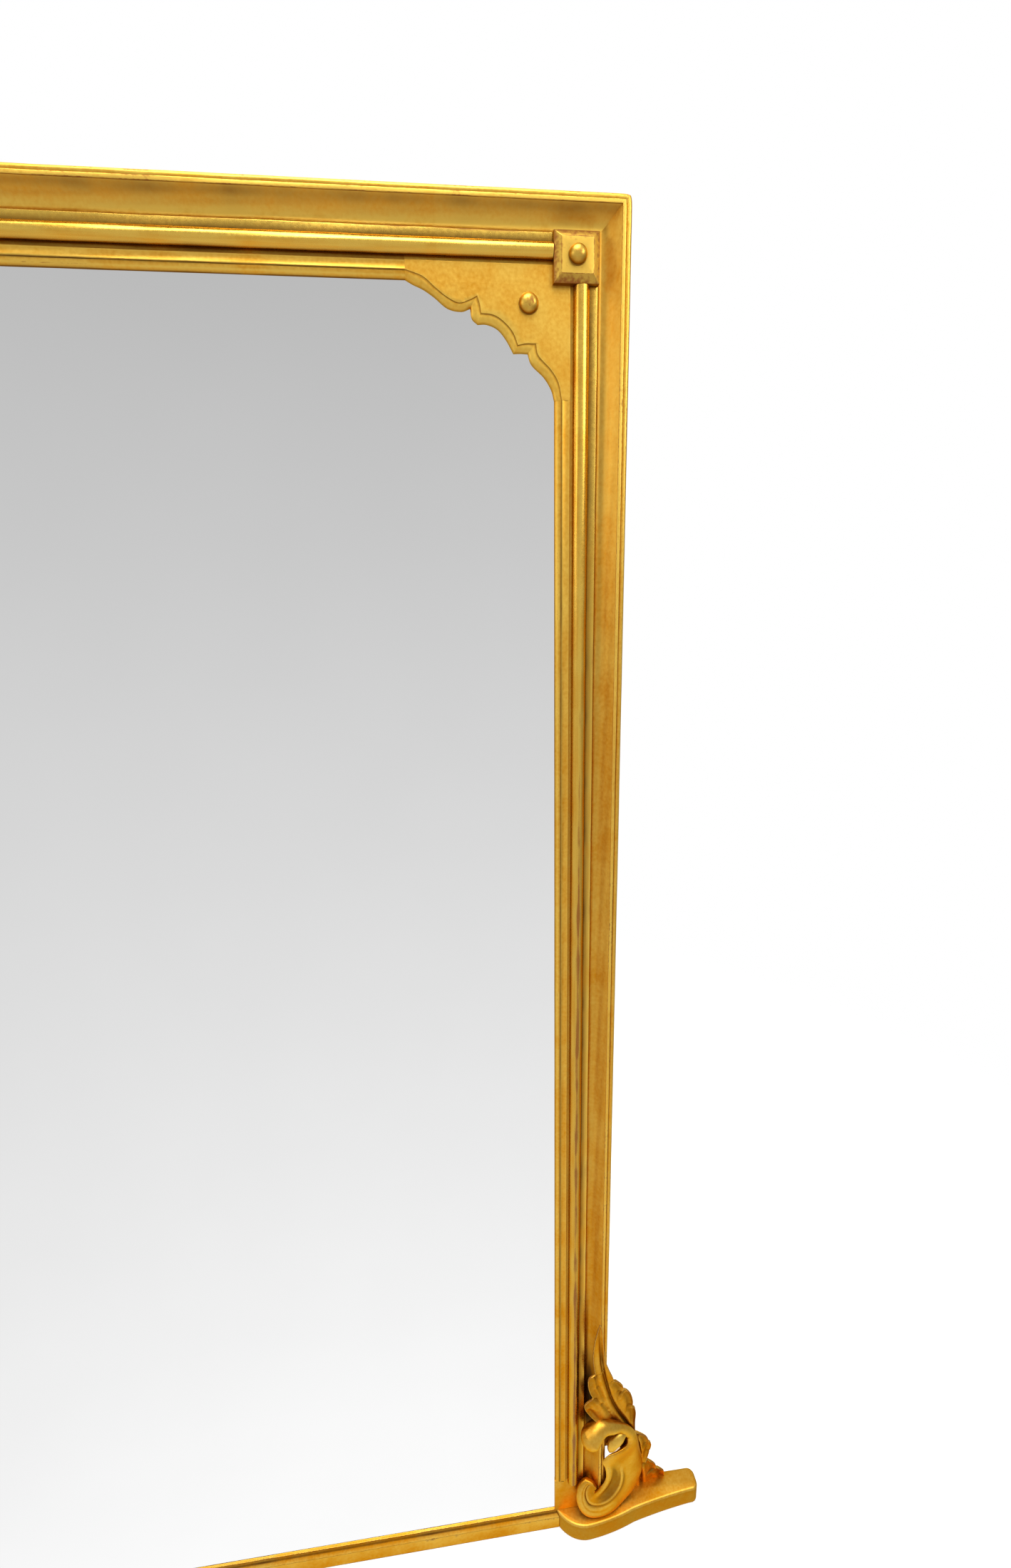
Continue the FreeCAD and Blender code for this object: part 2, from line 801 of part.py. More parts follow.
def hanger_ring():
    """Right D ring, hanging: a bar in the knuckle, two tight corners and a round bow."""
    half = ring_bar_length / 2
    bow_radius = half + ring_corner_radius
    wide = bow_radius + ring_wire_radius + cut_overrun
    ring = Part.makeCylinder(ring_wire_radius, ring_bar_length, Vector(-half, 0, 0), Vector(1, 0, 0))
    bends = [
        ring_bend(bow_radius, Vector(0, 0, -ring_corner_radius), -wide, wide, -wide, 0.0),
        ring_bend(ring_corner_radius, Vector(half, 0, -ring_corner_radius), 0.0, wide, 0.0, wide),
        ring_bend(ring_corner_radius, Vector(-half, 0, -ring_corner_radius), -wide, 0.0, 0.0, wide),
    ]
    ring = one_solid(ring.fuse(bends))
    ring.translate(hanger_axis())
    return ring


def build():
    """Every piece of the mirror by its name."""
    pieces = {}
    screws = [board_screw(*place) for place in board_screw_places()]
    screw_holes = both_sides([hole for screw, hole in screws])
    feet_screws = foot_screws()
    feet_holes = [hole for screw, hole in feet_screws]
    hang_screws = hanger_screws()
    hang_holes = [hole for screw, hole in hang_screws]
    dowels = rail_dowels()
    tongue = mitre_tongue()

    rail = carcass_section(top_point).extrude(Vector(frame_width, 0, 0))
    end = mitre_wedge(False)
    tongues = both_sides([tongue])
    pieces["top_rail"] = one_solid(cut_all(rail, [*both_sides([end]), *tongues, *screw_holes]))
    room = moulding_room()
    tools = [mitre_wedge(True), tongue, *screw_holes, *feet_holes, *hang_holes]
    right_foot = cut_all(foot(), [*feet_holes, *dowels, *leaf_dowels()])
    right_leaf = leaf(room)
    low = foot_thickness + base_block_height
    slip_top = top_z - front_edge_in - spandrel_drop
    right_hand = {
        "stile": one_solid(cut_all(stile_prism(), tools)),
        "reed": stile_stick(reed_section, low, top_z - block_in),
        "sight_slip": stile_stick(slip_section, low, slip_top),
        "base_block": base_block(),
        "spandrel": spandrel(),
        "spandrel_boss": turned_dome(boss_radius, boss_rise, spigot_length, boss_centre()),
        "corner_block": corner_block(),
        "corner_button": turned_dome(
            button_radius, button_rise, block_spigot_length, button_centre()
        ),
        "foot": one_solid(right_foot),
        "acanthus_leaf": one_solid(right_leaf),
        "scroll": scroll(room),
        "mitre_tongue": tongue,
        "hanger_strap": hanger_strap(),
        "hanger_ring": hanger_ring(),
    }
    for i in range(side_board_count):
        board = one_solid(cut_all(backboard(i), screw_holes))
        right_hand["backboard_%d" % (i + 1)] = board
    for name, shape in right_hand.items():
        pieces["right_" + name] = shape
        pieces["left_" + name] = mirrored(shape)

    pieces["top_reed"] = top_stick(reed_section, half_width - block_in)
    pieces["top_sight_slip"] = top_stick(slip_section, half_width - front_edge_in - spandrel_reach)
    foot_room = foot_face(joint_gap).extrude(Vector(0, 0, foot_thickness))
    rail_tools = [*both_sides([foot_room]), *both_sides(dowels), *screw_holes]
    pieces["bottom_rail"] = one_solid(cut_all(bottom_rail_prism(), rail_tools))
    pieces["mirror_plate"] = glass_plate()
    pieces["glass_wedges"] = Part.makeCompound(wedges())
    pieces["backboard_screws"] = Part.makeCompound(both_sides([screw for screw, hole in screws]))
    pieces["foot_screws"] = Part.makeCompound(both_sides([screw for screw, hole in feet_screws]))
    pieces["rail_dowels"] = Part.makeCompound(both_sides(dowels))
    pieces["bracket_dowels"] = Part.makeCompound(both_sides(leaf_dowels()))
    pieces["hanger_screws"] = Part.makeCompound(both_sides([screw for screw, hole in hang_screws]))
    return pieces


os.makedirs("parts", exist_ok=True)
for node, shape in build().items():
    shape.exportStep("parts/%s.step" % node)
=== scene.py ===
import json
import math

import bpy
import numpy as np
from mathutils import Matrix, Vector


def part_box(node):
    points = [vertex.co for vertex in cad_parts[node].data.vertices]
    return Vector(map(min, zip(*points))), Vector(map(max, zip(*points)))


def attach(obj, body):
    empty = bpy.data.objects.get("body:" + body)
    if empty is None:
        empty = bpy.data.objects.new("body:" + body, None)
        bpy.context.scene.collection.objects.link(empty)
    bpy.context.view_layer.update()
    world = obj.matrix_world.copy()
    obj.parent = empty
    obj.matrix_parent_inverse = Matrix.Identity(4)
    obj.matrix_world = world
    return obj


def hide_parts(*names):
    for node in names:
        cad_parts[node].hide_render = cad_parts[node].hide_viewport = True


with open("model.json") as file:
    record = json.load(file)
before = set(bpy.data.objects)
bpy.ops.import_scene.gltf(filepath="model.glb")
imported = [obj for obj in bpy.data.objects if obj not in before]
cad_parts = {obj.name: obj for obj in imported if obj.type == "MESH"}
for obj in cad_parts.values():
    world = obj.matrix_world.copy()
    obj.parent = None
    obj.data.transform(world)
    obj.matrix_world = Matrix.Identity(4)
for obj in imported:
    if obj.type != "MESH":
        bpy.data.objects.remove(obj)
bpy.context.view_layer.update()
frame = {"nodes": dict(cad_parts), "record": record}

bl_info = {
    "name": "Gilt Overmantel Mirror",
    "version": (1, 0, 0),
    "blender": (4, 5, 0),
    "location": "View3D > Sidebar > Overmantel",
    "description": "Gilded mouldings, carved brackets, silvered plate and boarded back of a mirror",
    "category": "Object",
}

MM = 0.001


def low(node):
    """Lowest corner of a solid, in millimetres."""
    return np.array(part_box(node)[0]) / MM


def high(node):
    """Highest corner of a solid, in millimetres."""
    return np.array(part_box(node)[1]) / MM


# Places taken from the solids, in millimetres
HALF, BACK, TOP = high("right_stile")
FOOT_TOP = high("right_foot")[2]
BASE_TOP = high("right_base_block")[2]
GLASS_LEVEL = BACK - low("mirror_plate")[1]
BLOCK_MIDDLE = (low("right_corner_block") + high("right_corner_block")) / 2
BOSS_MIDDLE = (low("right_spandrel_boss") + high("right_spandrel_boss")) / 2
SPANDREL_LEFT = low("right_spandrel")[0]
SPANDREL_FOOT = low("right_spandrel")[2]
SIGHT = HALF - low("right_base_block")[0]
REED_IN = HALF - low("right_reed")[0]
REED_OUT = HALF - high("right_reed")[0]

# Levels forward from the frame's back, and places in from its outer edge, in millimetres
BOARDS = 9.5
SEAT = 22.5
QUIRK = 25.5
FLAT = 27.5
BOARDS_IN = 49.0
REBATE_IN = 60.0
COVE_MIDDLE = 24.0
REED_START = 37.4
REED_MIDDLE = 44.5
QUIRK_MIDDLE = 53.5
SIGHT_LINE = SIGHT - 6.7
BLOCK_FACE = 37.5
# Heights of the ledges under the boards and under the glass
BOARDS_LEDGE = 7.0
GLASS_LEDGE = 19.0
# Angles in degrees past which an edge is sharp
STICK_SHARP = 32
BLOCK_SHARP = 40
LEAF_SHARP = 55
SCROLL_SHARP = 60


def hex_colour(name, use, value):
    """Setting for a colour, as an sRGB hex value."""
    return bpy.props.StringProperty(name=name, description=use + ", as an sRGB hex value", default=value)


def length(name, use, value):
    """Setting for a length in metres."""
    return bpy.props.FloatProperty(name=name, description=use, default=value, unit="LENGTH")


class GildingSettings(bpy.types.PropertyGroup):
    """Colours and wear of the gilding."""

    # Light and deep gold also carry painted light: the leaf is mixed towards light gold higher up and on
    # rubbed edges, and towards deep gold lower down.
    gold_light: hex_colour("Light gold", "Leaf where it is clean", "EDC254")
    gold_deep: hex_colour("Deep gold", "Leaf where it is thin or toned", "D28A10")
    sheen: hex_colour("Sheen", "Gold seen at a flat angle", "F8DE9C")
    bole: hex_colour("Bole", "Clay under the leaf that shows where it is rubbed", "8A4A1E")
    # Also painted shade: this colour darkens creases, hollows and faces turned down, together with old dust.
    toning_and_shade: hex_colour("Toning", "Old size and dust in the hollows", "5E2F06")
    # Painted shadow: near-black laid into the gap behind the carved leaf, where shade falls.
    gap: hex_colour("Gap", "Soot in the gap behind the carved leaf", "120803")
    sheet: length("Leaf sheet", "Side of one sheet of gold leaf", 0.08)
    wobble: length("Hand wobble", "How far scraped gesso strays from a true line", 0.00012)


class CarvingSettings(bpy.types.PropertyGroup):
    """Depths of the carving."""

    vein: length("Vein depth", "Depth of the leaf's middle vein", 0.0036)
    rim: length("Rim height", "Height of the leaf's turned-up rim", 0.0018)
    flute: length("Flute depth", "Depth of the scroll's flutes", 0.0034)


class BackSettings(bpy.types.PropertyGroup):
    """Colours of the plate, the back and its metalwork."""

    silver: hex_colour("Silver", "Silvering that is still fresh", "F5F5F5")
    silver_aged: hex_colour("Aged silver", "Silvering that has aged", "F1F1F1")
    wash: hex_colour("Wash", "Ochre wash on bare wood at the back", "9A7440")
    wash_thin: hex_colour("Thin wash", "The wash where the brush left little", "B48E58")
    pine: hex_colour("Pine", "Bare pine", "B08A58")
    pine_late: hex_colour("Pine late wood", "Dark lines of pine grain", "7A5630")
    steel: hex_colour("Steel", "Dulled steel", "8C8780")
    steel_dark: hex_colour("Dark steel", "Steel where it is tarnished", "5A544C")
    brass: hex_colour("Brass", "Rolled brass", "B8924A")
    brass_dark: hex_colour("Dark brass", "Brass where it is tarnished", "7A5C2C")


class StageSettings(bpy.types.PropertyGroup):
    """Light round the object."""

    sky: bpy.props.FloatProperty(
        name="Upper light", description="Strength of the light from above", default=1.0)
    lamp: bpy.props.FloatProperty(
        name="Lamp", description="Power of the soft lamp above", default=31.0, unit="POWER")


# Curves and surfaces


def smooth(points, count):
    """Smooth curve through points: a cubic on each span, whose slopes are half the step between
    neighbours."""
    p = np.asarray(points, float)
    t = np.linspace(0, len(p) - 1, count)
    i = np.minimum(t.astype(int), len(p) - 2)
    f = (t - i).reshape((-1,) + (1,) * (p.ndim - 1))
    m = np.gradient(p, axis=0)
    a = (2 * f ** 3 - 3 * f ** 2 + 1) * p[i] + (f ** 3 - 2 * f ** 2 + f) * m[i]
    return a + (3 * f ** 2 - 2 * f ** 3) * p[i + 1] + (f ** 3 - f ** 2) * m[i + 1]


def joined(stretches, count):
    """Smooth stretches end to end, each through its own points, so that the joints stay sharp."""
    return np.concatenate([smooth(stretch, count) for stretch in stretches])


def arc(middle, radius, start, end, count):
    """Round arc about a middle, between two angles in degrees."""
    a = np.radians(np.linspace(start, end, count))
    return np.stack([middle[0] + radius * np.cos(a), middle[1] + radius * np.sin(a)], 1)


def arc_through(a, b, c, count):
    """Round arc from a through b to c: the angles of the three about their common middle."""
    a, b, c = (complex(*p) for p in (a, b, c))
    w = (c - a) / (b - a)
    middle = (b - a) * (w - abs(w) ** 2) / (2j * w.imag) + a
    turn_b = np.angle((b - middle) / (a - middle)) % (2 * np.pi)
    turn_c = np.angle((c - middle) / (a - middle)) % (2 * np.pi)
    turn = turn_c if turn_b < turn_c else turn_c - 2 * np.pi
    points = middle + (a - middle) * np.exp(1j * turn * np.linspace(0, 1, count))
    return np.stack([points.real, points.imag], 1)


def rounded(corners, count=5):
    """Outline with its corners eased: at each corner a quadratic curve from one cut point to the next.
    A corner is (across, level, cut), where cut is how far along each side the easing starts."""
    c = np.asarray(corners, float)
    p = c[:, :2]
    before = np.roll(p, 1, 0) - p
    after = np.roll(p, -1, 0) - p
    size = c[:, 2:3]
    start = p + before / np.maximum(np.linalg.norm(before, axis=1, keepdims=True), 1e-6) * size
    end = p + after / np.maximum(np.linalg.norm(after, axis=1, keepdims=True), 1e-6) * size
    t = np.linspace(0, 1, count)[None, :, None]
    curve = (1 - t) ** 2 * start[:, None] + 2 * t * (1 - t) * p[:, None] + t ** 2 * end[:, None]
    return curve.reshape(-1, 2)


def thinned(outline):
    """Outline without points that fall on the one before."""
    step = np.linalg.norm(outline - np.roll(outline, 1, 0), axis=1)
    return outline[step > 1e-4]


def nearness(outline, places, spread):
    """How near each outline point is to any of a few places: one on the place, falling off as a bell."""
    away = outline[:, None] - np.asarray(places, float)[None]
    return np.exp(-(away ** 2).sum(-1) / spread ** 2).max(1)


def bell(away, width):
    """Bell curve, one at zero."""
    return np.exp(-(away / width) ** 2)


def patch(points, rub_and_highlight=0.0, hollow=0.0, sheet=None):
    """One closed grid of points, rows along and columns round, with its rubbing and painted highlight, the
    painted shade of its hollows and its leaf-sheet coordinates: the lengths along and across where none are
    given."""
    if sheet is None:
        along = np.linalg.norm(np.diff(points, axis=0, prepend=points[:1]), axis=-1).cumsum(0)
        across = np.linalg.norm(np.diff(points, axis=1, prepend=points[:, :1]), axis=-1).cumsum(1)
        sheet = np.stack([along, across], -1)
    full = np.ones(points.shape[:2])
    return {"points": points, "rub_and_highlight": full * rub_and_highlight, "hollow": full * hollow, "sheet": sheet}


def faces_of(rows, columns):
    """Quads between neighbouring rows and columns, all the way round, and one face at each end."""
    number = np.arange(rows * columns).reshape(rows, columns)
    ring = np.concatenate([number, number[:, :1]], 1)
    quads = np.stack([ring[:-1, :-1], ring[:-1, 1:], ring[1:, 1:], ring[1:, :-1]], -1)
    return [*quads.reshape(-1, 4).tolist(), number[0, ::-1].tolist(), number[-1].tolist()]


def volume_of(points, faces):
    """Signed volume inside the faces: the sum over fans of triangles of their triple products, over six."""
    total = 0.0
    for size in sorted({len(face) for face in faces}):
        f = np.array([face for face in faces if len(face) == size])
        first = points[f[:, 0]]
        for k in range(1, size - 1):
            total += np.einsum("ij,ij->i", first, np.cross(points[f[:, k]], points[f[:, k + 1]])).sum()
    return total / 6


def make_piece(name, grids, material, nodes, sharp, mirror=False, body="frame"):
    """Mesh from grids in millimetres, faces outward, with its rubbing, painted highlight and shade, and
    leaf-sheet coordinates on it.
    """
    points, faces, rub_and_highlight, hollow, sheet = [], [], [], [], []
    count = 0
    for grid in grids:
        p = grid["points"].reshape(-1, 3) * (np.array([-1, 1, 1]) if mirror else 1)
        own = faces_of(*grid["points"].shape[:2])
        if volume_of(p, own) < 0:
            own = [face[::-1] for face in own]
        faces += [[i + count for i in face] for face in own]
        points.append(p)
        rub_and_highlight.append(grid["rub_and_highlight"].ravel())
        hollow.append(grid["hollow"].ravel())
        sheet.append(grid["sheet"].reshape(-1, 2))
        count += len(p)
    mesh = bpy.data.meshes.new(name)
    mesh.from_pydata((np.concatenate(points) * MM).tolist(), [], faces)
    mesh.validate()
    for key, value in (("rub_and_highlight", rub_and_highlight), ("hollow", hollow)):
        mesh.attributes.new(key, "FLOAT", "POINT").data.foreach_set("value", np.concatenate(value))
    corner = np.empty(len(mesh.loops), np.int32)
    mesh.loops.foreach_get("vertex_index", corner)
    layer = mesh.uv_layers.new(name="leaf_sheet")
    layer.data.foreach_set("uv", (np.concatenate(sheet)[corner] * MM).ravel().astype(np.float32))
    mesh.shade_smooth()
    mesh.set_sharp_from_angle(angle=math.radians(sharp))
    piece = bpy.data.objects.new(name, mesh)
    bpy.context.scene.collection.objects.link(piece)
    mesh.materials.append(material)
    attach(piece, body)
    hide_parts(*nodes)


def make_pairs(*pieces):
    """Pieces on the right and then their mirror images on the left; each is its name, grids, finish, slot,
    node and the angle in degrees past which an edge is sharp."""
    for side in ("right", "left"):
        for name, grids, material, slot, node, sharp in pieces:
            make_piece(side + "_" + name, grids, material, [side + "_" + node], sharp, side == "left")


# Finishes


def linear(text):
    """Linear colour from an sRGB hex value."""
    c = np.array([int(text[i:i + 2], 16) for i in (0, 2, 4)]) / 255
    c = np.where(c <= 0.04045, c / 12.92, ((c + 0.055) / 1.055) ** 2.4)
    return (*c.tolist(), 1.0)


def wire(node, inputs):
    """Sets a node's inputs, by place or by name: to a value, an output, or a node's first output."""
    for socket, value in inputs.items() if isinstance(inputs, dict) else enumerate(inputs):
        if isinstance(value, bpy.types.Node):
            value = next(out for out in value.outputs if out.enabled)
        if isinstance(value, bpy.types.NodeSocket):
            node.id_data.links.new(value, node.inputs[socket])
        else:
            node.inputs[socket].default_value = value
    return node


def add(tree, kind, inputs=(), **settings):
    """New shader node with its settings and inputs."""
    made = tree.nodes.new("ShaderNode" + kind)
    for key, value in settings.items():
        setattr(made, key, value)
    return wire(made, inputs)


def new_material(name):
    """Empty node material with its shader."""
    material = bpy.data.materials.new(name)
    material.use_nodes = True
    tree = material.node_tree
    return material, tree, tree.nodes["Principled BSDF"]


def gilding(name, roughness, streak):
    """Water gilding: sheets of gold leaf on clay bole over scraped gesso, thinly varnished.
    To the eye each sheet differs a little in tone, laps show as fine lines, and the bole glows red-brown
    where high edges are rubbed. Painted light pales the leaf towards the top and on rubbed edges, painted
    shade darkens faces turned down and the hollows (with old dust there), and a painted shadow fills the gap
    behind the carved leaf. Burnishing leaves streaks along the work.
    Faces turned to the wall are washed with ochre."""
    g, b = bpy.context.scene.overmantel_gilding, bpy.context.scene.overmantel_back
    material, tree, shader = new_material(name)
    place = add(tree, "TexCoord").outputs["Object"]
    sheet = add(tree, "UVMap", uv_map="leaf_sheet")
    rub_and_highlight = add(tree, "Attribute", attribute_name="rub_and_highlight").outputs["Fac"]
    hollow = add(tree, "Attribute", attribute_name="hollow").outputs["Fac"]
    height = add(tree, "SeparateXYZ", [place]).outputs["Z"]
    facing = add(tree, "SeparateXYZ", [add(tree, "TexCoord").outputs["Normal"]])
    # Painted shade: faces turned downward are darkened, as though the light came from above.
    under = add(tree, "MapRange", [facing.outputs["Z"], -0.1, -0.9])
    bare = add(tree, "MapRange", [facing.outputs["Y"], 0.8, 0.95])
    cloud = add(tree, "TexNoise", {"Vector": place, "Scale": 1 / (45 * MM), "Detail": 4.0})
    grain = add(tree, "TexNoise", {"Vector": place, "Scale": 1 / (3.5 * MM), "Detail": 3.0})

    # Tone: sheets and their laps, paler towards the top as painted light from above, with streaks, rubbed
    # edges paled by a painted highlight, and a fine mottle
    laps = add(tree, "TexBrick", {
        "Vector": sheet, "Color1": (0.47, 0.47, 0.47, 1), "Color2": (0.54, 0.54, 0.54, 1),
        "Mortar": (0.54, 0.54, 0.54, 1), "Scale": 1.0, "Mortar Size": 0.3 * MM, "Mortar Smooth": 1.0,
        "Brick Width": g.sheet, "Row Height": g.sheet}, offset=0.37)
    # Burnisher's streaks are about 70 mm long and 2.4 mm wide
    drawn = add(tree, "VectorMath", [sheet, (14.0, 420.0, 1.0)], operation="MULTIPLY")
    streaks = add(tree, "TexNoise", {"Vector": drawn, "Scale": 1.0, "Detail": 3.0})
    # Where it is streaked, the burnish hides most of the mottle
    mottle = 0.03 if streak else 0.14
    # Rubbed edges and high places are paler: a painted highlight.
    tone = add(tree, "Math", [rub_and_highlight, 0.5, cloud], operation="MULTIPLY_ADD")
    # The height term is painted light: the leaf grows paler upwards, as if lit from above.
    for part in (laps, add(tree, "MapRange", [height, 0.0, TOP * MM, -0.2, 0.14]),
                 add(tree, "MapRange", [streaks, 0.0, 1.0, -streak, streak]),
                 add(tree, "MapRange", [grain, 0.25, 0.75, -mottle, mottle])):
        tone = add(tree, "Math", [tone, part], operation="ADD")
    # Share of light gold, which carries the painted light and painted highlight as well as the leaf's own
    # tone.
    clean = add(tree, "MapRange", [tone, 0.68, 1.34])

    # Wear, soil mixed with painted shade, a painted shadow in the gap behind the leaf, and the brushed wash,
    # each a mask over the gold
    worn = add(tree, "Math", [streaks if streak else grain, 0.7, rub_and_highlight], operation="MULTIPLY_ADD")
    worn = add(tree, "Math", [cloud, 0.8, worn], operation="MULTIPLY_ADD")
    worn = add(tree, "MapRange", [worn, 1.38, 1.62, 0.0, 0.85])
    # Painted shade on faces turned down and in the hollows, together with old dust in the hollows.
    soiled_and_shaded = add(tree, "Math", [under, 0.6, hollow], operation="MULTIPLY_ADD")
    patchy = add(tree, "MapRange", [cloud, 0.3, 0.7, 0.55, 1.0])
    soiled_and_shaded = add(tree, "Math", [soiled_and_shaded, patchy], operation="MULTIPLY")
    soiled_and_shaded = add(tree, "MapRange", [soiled_and_shaded, 0.0, 1.0, 0.0, 0.9])
    # Painted shadow: near-black where the hollow value passes one, which is only in the gap behind the carved
    # leaf.
    painted_gap_shadow = add(tree, "MapRange", [hollow, 1.0, 2.0, 0.0, 0.92])
    brushed = add(tree, "Mapping", {"Vector": place, "Scale": (1 / (5 * MM), 1.0, 1 / (90 * MM))})
    brushed = add(tree, "TexNoise", {"Vector": brushed, "Scale": 1.0, "Detail": 4.0})
    brushed = add(tree, "MapRange", [brushed, 0.35, 0.7])
    wash = add(tree, "Mix", {"Factor": brushed, "A": linear(b.wash), "B": linear(b.wash_thin)},
               data_type="RGBA")
    colour = linear(g.gold_deep)
    for mask, over in ((clean, linear(g.gold_light)), (soiled_and_shaded, linear(g.toning_and_shade)), (painted_gap_shadow, linear(g.gap)),
                       (worn, linear(g.bole)), (bare, wash)):
        colour = add(tree, "Mix", {"Factor": mask, "A": colour, "B": over}, data_type="RGBA")

    dull = add(tree, "Math", [grain, 0.2, roughness - 0.1], operation="MULTIPLY_ADD")
    dull = add(tree, "Math", [worn, 0.2, dull], operation="MULTIPLY_ADD")
    dull = add(tree, "Math", [bare, 0.3, dull], operation="MULTIPLY_ADD")
    metal = add(tree, "MapRange", [worn, 0.0, 1.0, 1.0, 0.45])
    metal = add(tree, "Math", [metal, bare], operation="SUBTRACT", use_clamp=True)
    ripple = add(tree, "Math", [laps.outputs["Fac"], 0.15, grain], operation="MULTIPLY_ADD")
    bump = add(tree, "Bump", {"Height": ripple, "Strength": 0.2, "Distance": 0.4 * MM})
    wire(shader, {"Base Color": colour, "Roughness": dull, "Metallic": metal, "Normal": bump,
                  "Specular Tint": linear(g.sheen), "Coat Weight": 0.05, "Coat Roughness": 0.28})
    return material


def silvered_plate():
    """Plate glass silvered on its back: a true mirror, very slightly soft where the silver has aged."""
    b = bpy.context.scene.overmantel_back
    material, tree, shader = new_material("silvered plate glass")
    place = add(tree, "TexCoord").outputs["Object"]
    age = add(tree, "TexNoise", {"Vector": place, "Scale": 1 / (160 * MM), "Detail": 3.0})
    soft = add(tree, "MapRange", [age, 0.3, 0.8, 0.004, 0.02])
    tint = add(tree, "Mix", {"Factor": age, "A": linear(b.silver), "B": linear(b.silver_aged)},
               data_type="RGBA")
    wire(shader, {"Base Color": tint, "Roughness": soft, "Metallic": 1.0})
    return material


def bare_pine():
    """Planed pine: pale early wood with darker late-wood lines some millimetres apart, drawn up the board.
    Each board has its own stretch of grain and its own depth of colour."""
    b = bpy.context.scene.overmantel_back
    material, tree, shader = new_material("planed pine")
    place = add(tree, "TexCoord").outputs["Object"]
    across = add(tree, "SeparateXYZ", [place]).outputs["X"]
    count = add(tree, "Math", [across, high("right_backboard_1")[0] * MM], operation="DIVIDE")
    count = add(tree, "Math", [count], operation="FLOOR")
    board = add(tree, "TexWhiteNoise", {"W": count}, noise_dimensions="1D")
    apart = add(tree, "VectorMath", [board.outputs["Color"], (3.0, 0.0, 3.0), place],
                operation="MULTIPLY_ADD")
    grown = add(tree, "Mapping", {"Vector": apart, "Scale": (1.0, 1.0, 0.06)})
    bend = add(tree, "TexNoise", {"Vector": grown, "Scale": 1 / (50 * MM), "Detail": 2.0})
    moved = add(tree, "VectorMath", [bend.outputs["Color"], (0.05, 0.05, 0.05), grown],
                operation="MULTIPLY_ADD")
    rings = add(tree, "TexWave", {"Vector": moved, "Scale": 1 / (18 * MM), "Distortion": 1.5, "Detail": 2.0},
                bands_direction="X")
    fibre = add(tree, "TexNoise", {"Vector": grown, "Scale": 1 / (1.6 * MM), "Detail": 2.0})
    mixed = add(tree, "Math", [fibre, 0.35, rings.outputs["Fac"]], operation="MULTIPLY_ADD")
    grain = add(tree, "Math", [board, 0.5, mixed], operation="MULTIPLY_ADD")
    grain = add(tree, "MapRange", [grain, 0.3, 1.9])
    colour = add(tree, "Mix", {"Factor": grain, "A": linear(b.pine), "B": linear(b.pine_late)},
                 data_type="RGBA")
    bump = add(tree, "Bump", {"Height": mixed, "Strength": 0.3, "Distance": 0.3 * MM})
    wire(shader, {"Base Color": colour, "Roughness": 0.72, "Normal": bump})
    return material


def dulled_metal(name, bright, tarnish, roughness):
    """Bare metal handled for years: even sheen with darker tarnish in patches a few millimetres across."""
    material, tree, shader = new_material(name)
    place = add(tree, "TexCoord").outputs["Object"]
    spots = add(tree, "TexNoise", {"Vector": place, "Scale": 1 / (6 * MM), "Detail": 4.0})
    mask = add(tree, "MapRange", [spots, 0.4, 0.75])
    colour = add(tree, "Mix", {"Factor": mask, "A": linear(bright), "B": linear(tarnish)}, data_type="RGBA")
    dull = add(tree, "Math", [spots, 0.2, roughness - 0.1], operation="MULTIPLY_ADD")
    wire(shader, {"Base Color": colour, "Roughness": dull, "Metallic": 1.0})
    return material


def finish_named(name, make, *values):
    """A finish made once and then shared."""
    return bpy.data.materials.get(name) or make(name, *values)


def matt_gold():
    """The matt gilding of coves, flats, feet and leaves."""
    return finish_named("matt water gilding", gilding, 0.44, 0.0)


def bright_gold():
    """The burnished gilding of buttons, bosses and scrolls."""
    return finish_named("burnished water gilding", gilding, 0.38, 0.0)


def drawn_gold():
    """The burnished gilding of reeds, where the agate was drawn along the stick."""
    return finish_named("burnished water gilding on reeds", gilding, 0.27, 0.32)


# Sections, as (in from the outer edge, forward from the back)


def level_y(level):
    """Y of a level in front of the frame's back."""
    return BACK - level


def moulding_section():
    """Outer moulding: round bead, flat lip, cove down to the reed, then the rebates behind."""
    bead = arc((3.3, 34.0), 3.3, 225, 20, 22)
    cove = smooth([(10.1, 38.7), (13.0, 35.0), (16.0, 31.3), (19.0, 28.0), (22.0, 25.7), (25.0, 24.8),
                   (27.5, 25.3), (REED_OUT, 26.6)], 34)
    lip = rounded([(6.4, 35.4, 0.0), (6.5, 40.0, 0.7), (10.1, 40.0, 0.7), (10.1, 38.7, 0.0)])[5:]
    behind = [(REED_OUT, SEAT), (REBATE_IN, SEAT), (REBATE_IN, BOARDS), (BOARDS_IN, BOARDS),
              (BOARDS_IN, 0.0), (bead[0, 0], 0.0)]
    outline = thinned(np.concatenate([bead, lip, cove, behind]))
    # Rubbed front of the bead and arrises of the lip, their paler part a painted highlight.
    rub_and_highlight = 0.75 * nearness(outline, [(1.6, 37.0), (6.6, 40.0), (10.1, 40.0)], 1.0)
    # Painted shade in the creases between bead and lip and between cove and reed, and faintly across the
    # cove.
    recess_shade = nearness(outline, [(6.4, 35.2), (REED_OUT, 26.6)], 1.6)
    return outline, rub_and_highlight, np.maximum(recess_shade, 0.25 * nearness(outline, [(COVE_MIDDLE, 24.6)], 4.0))


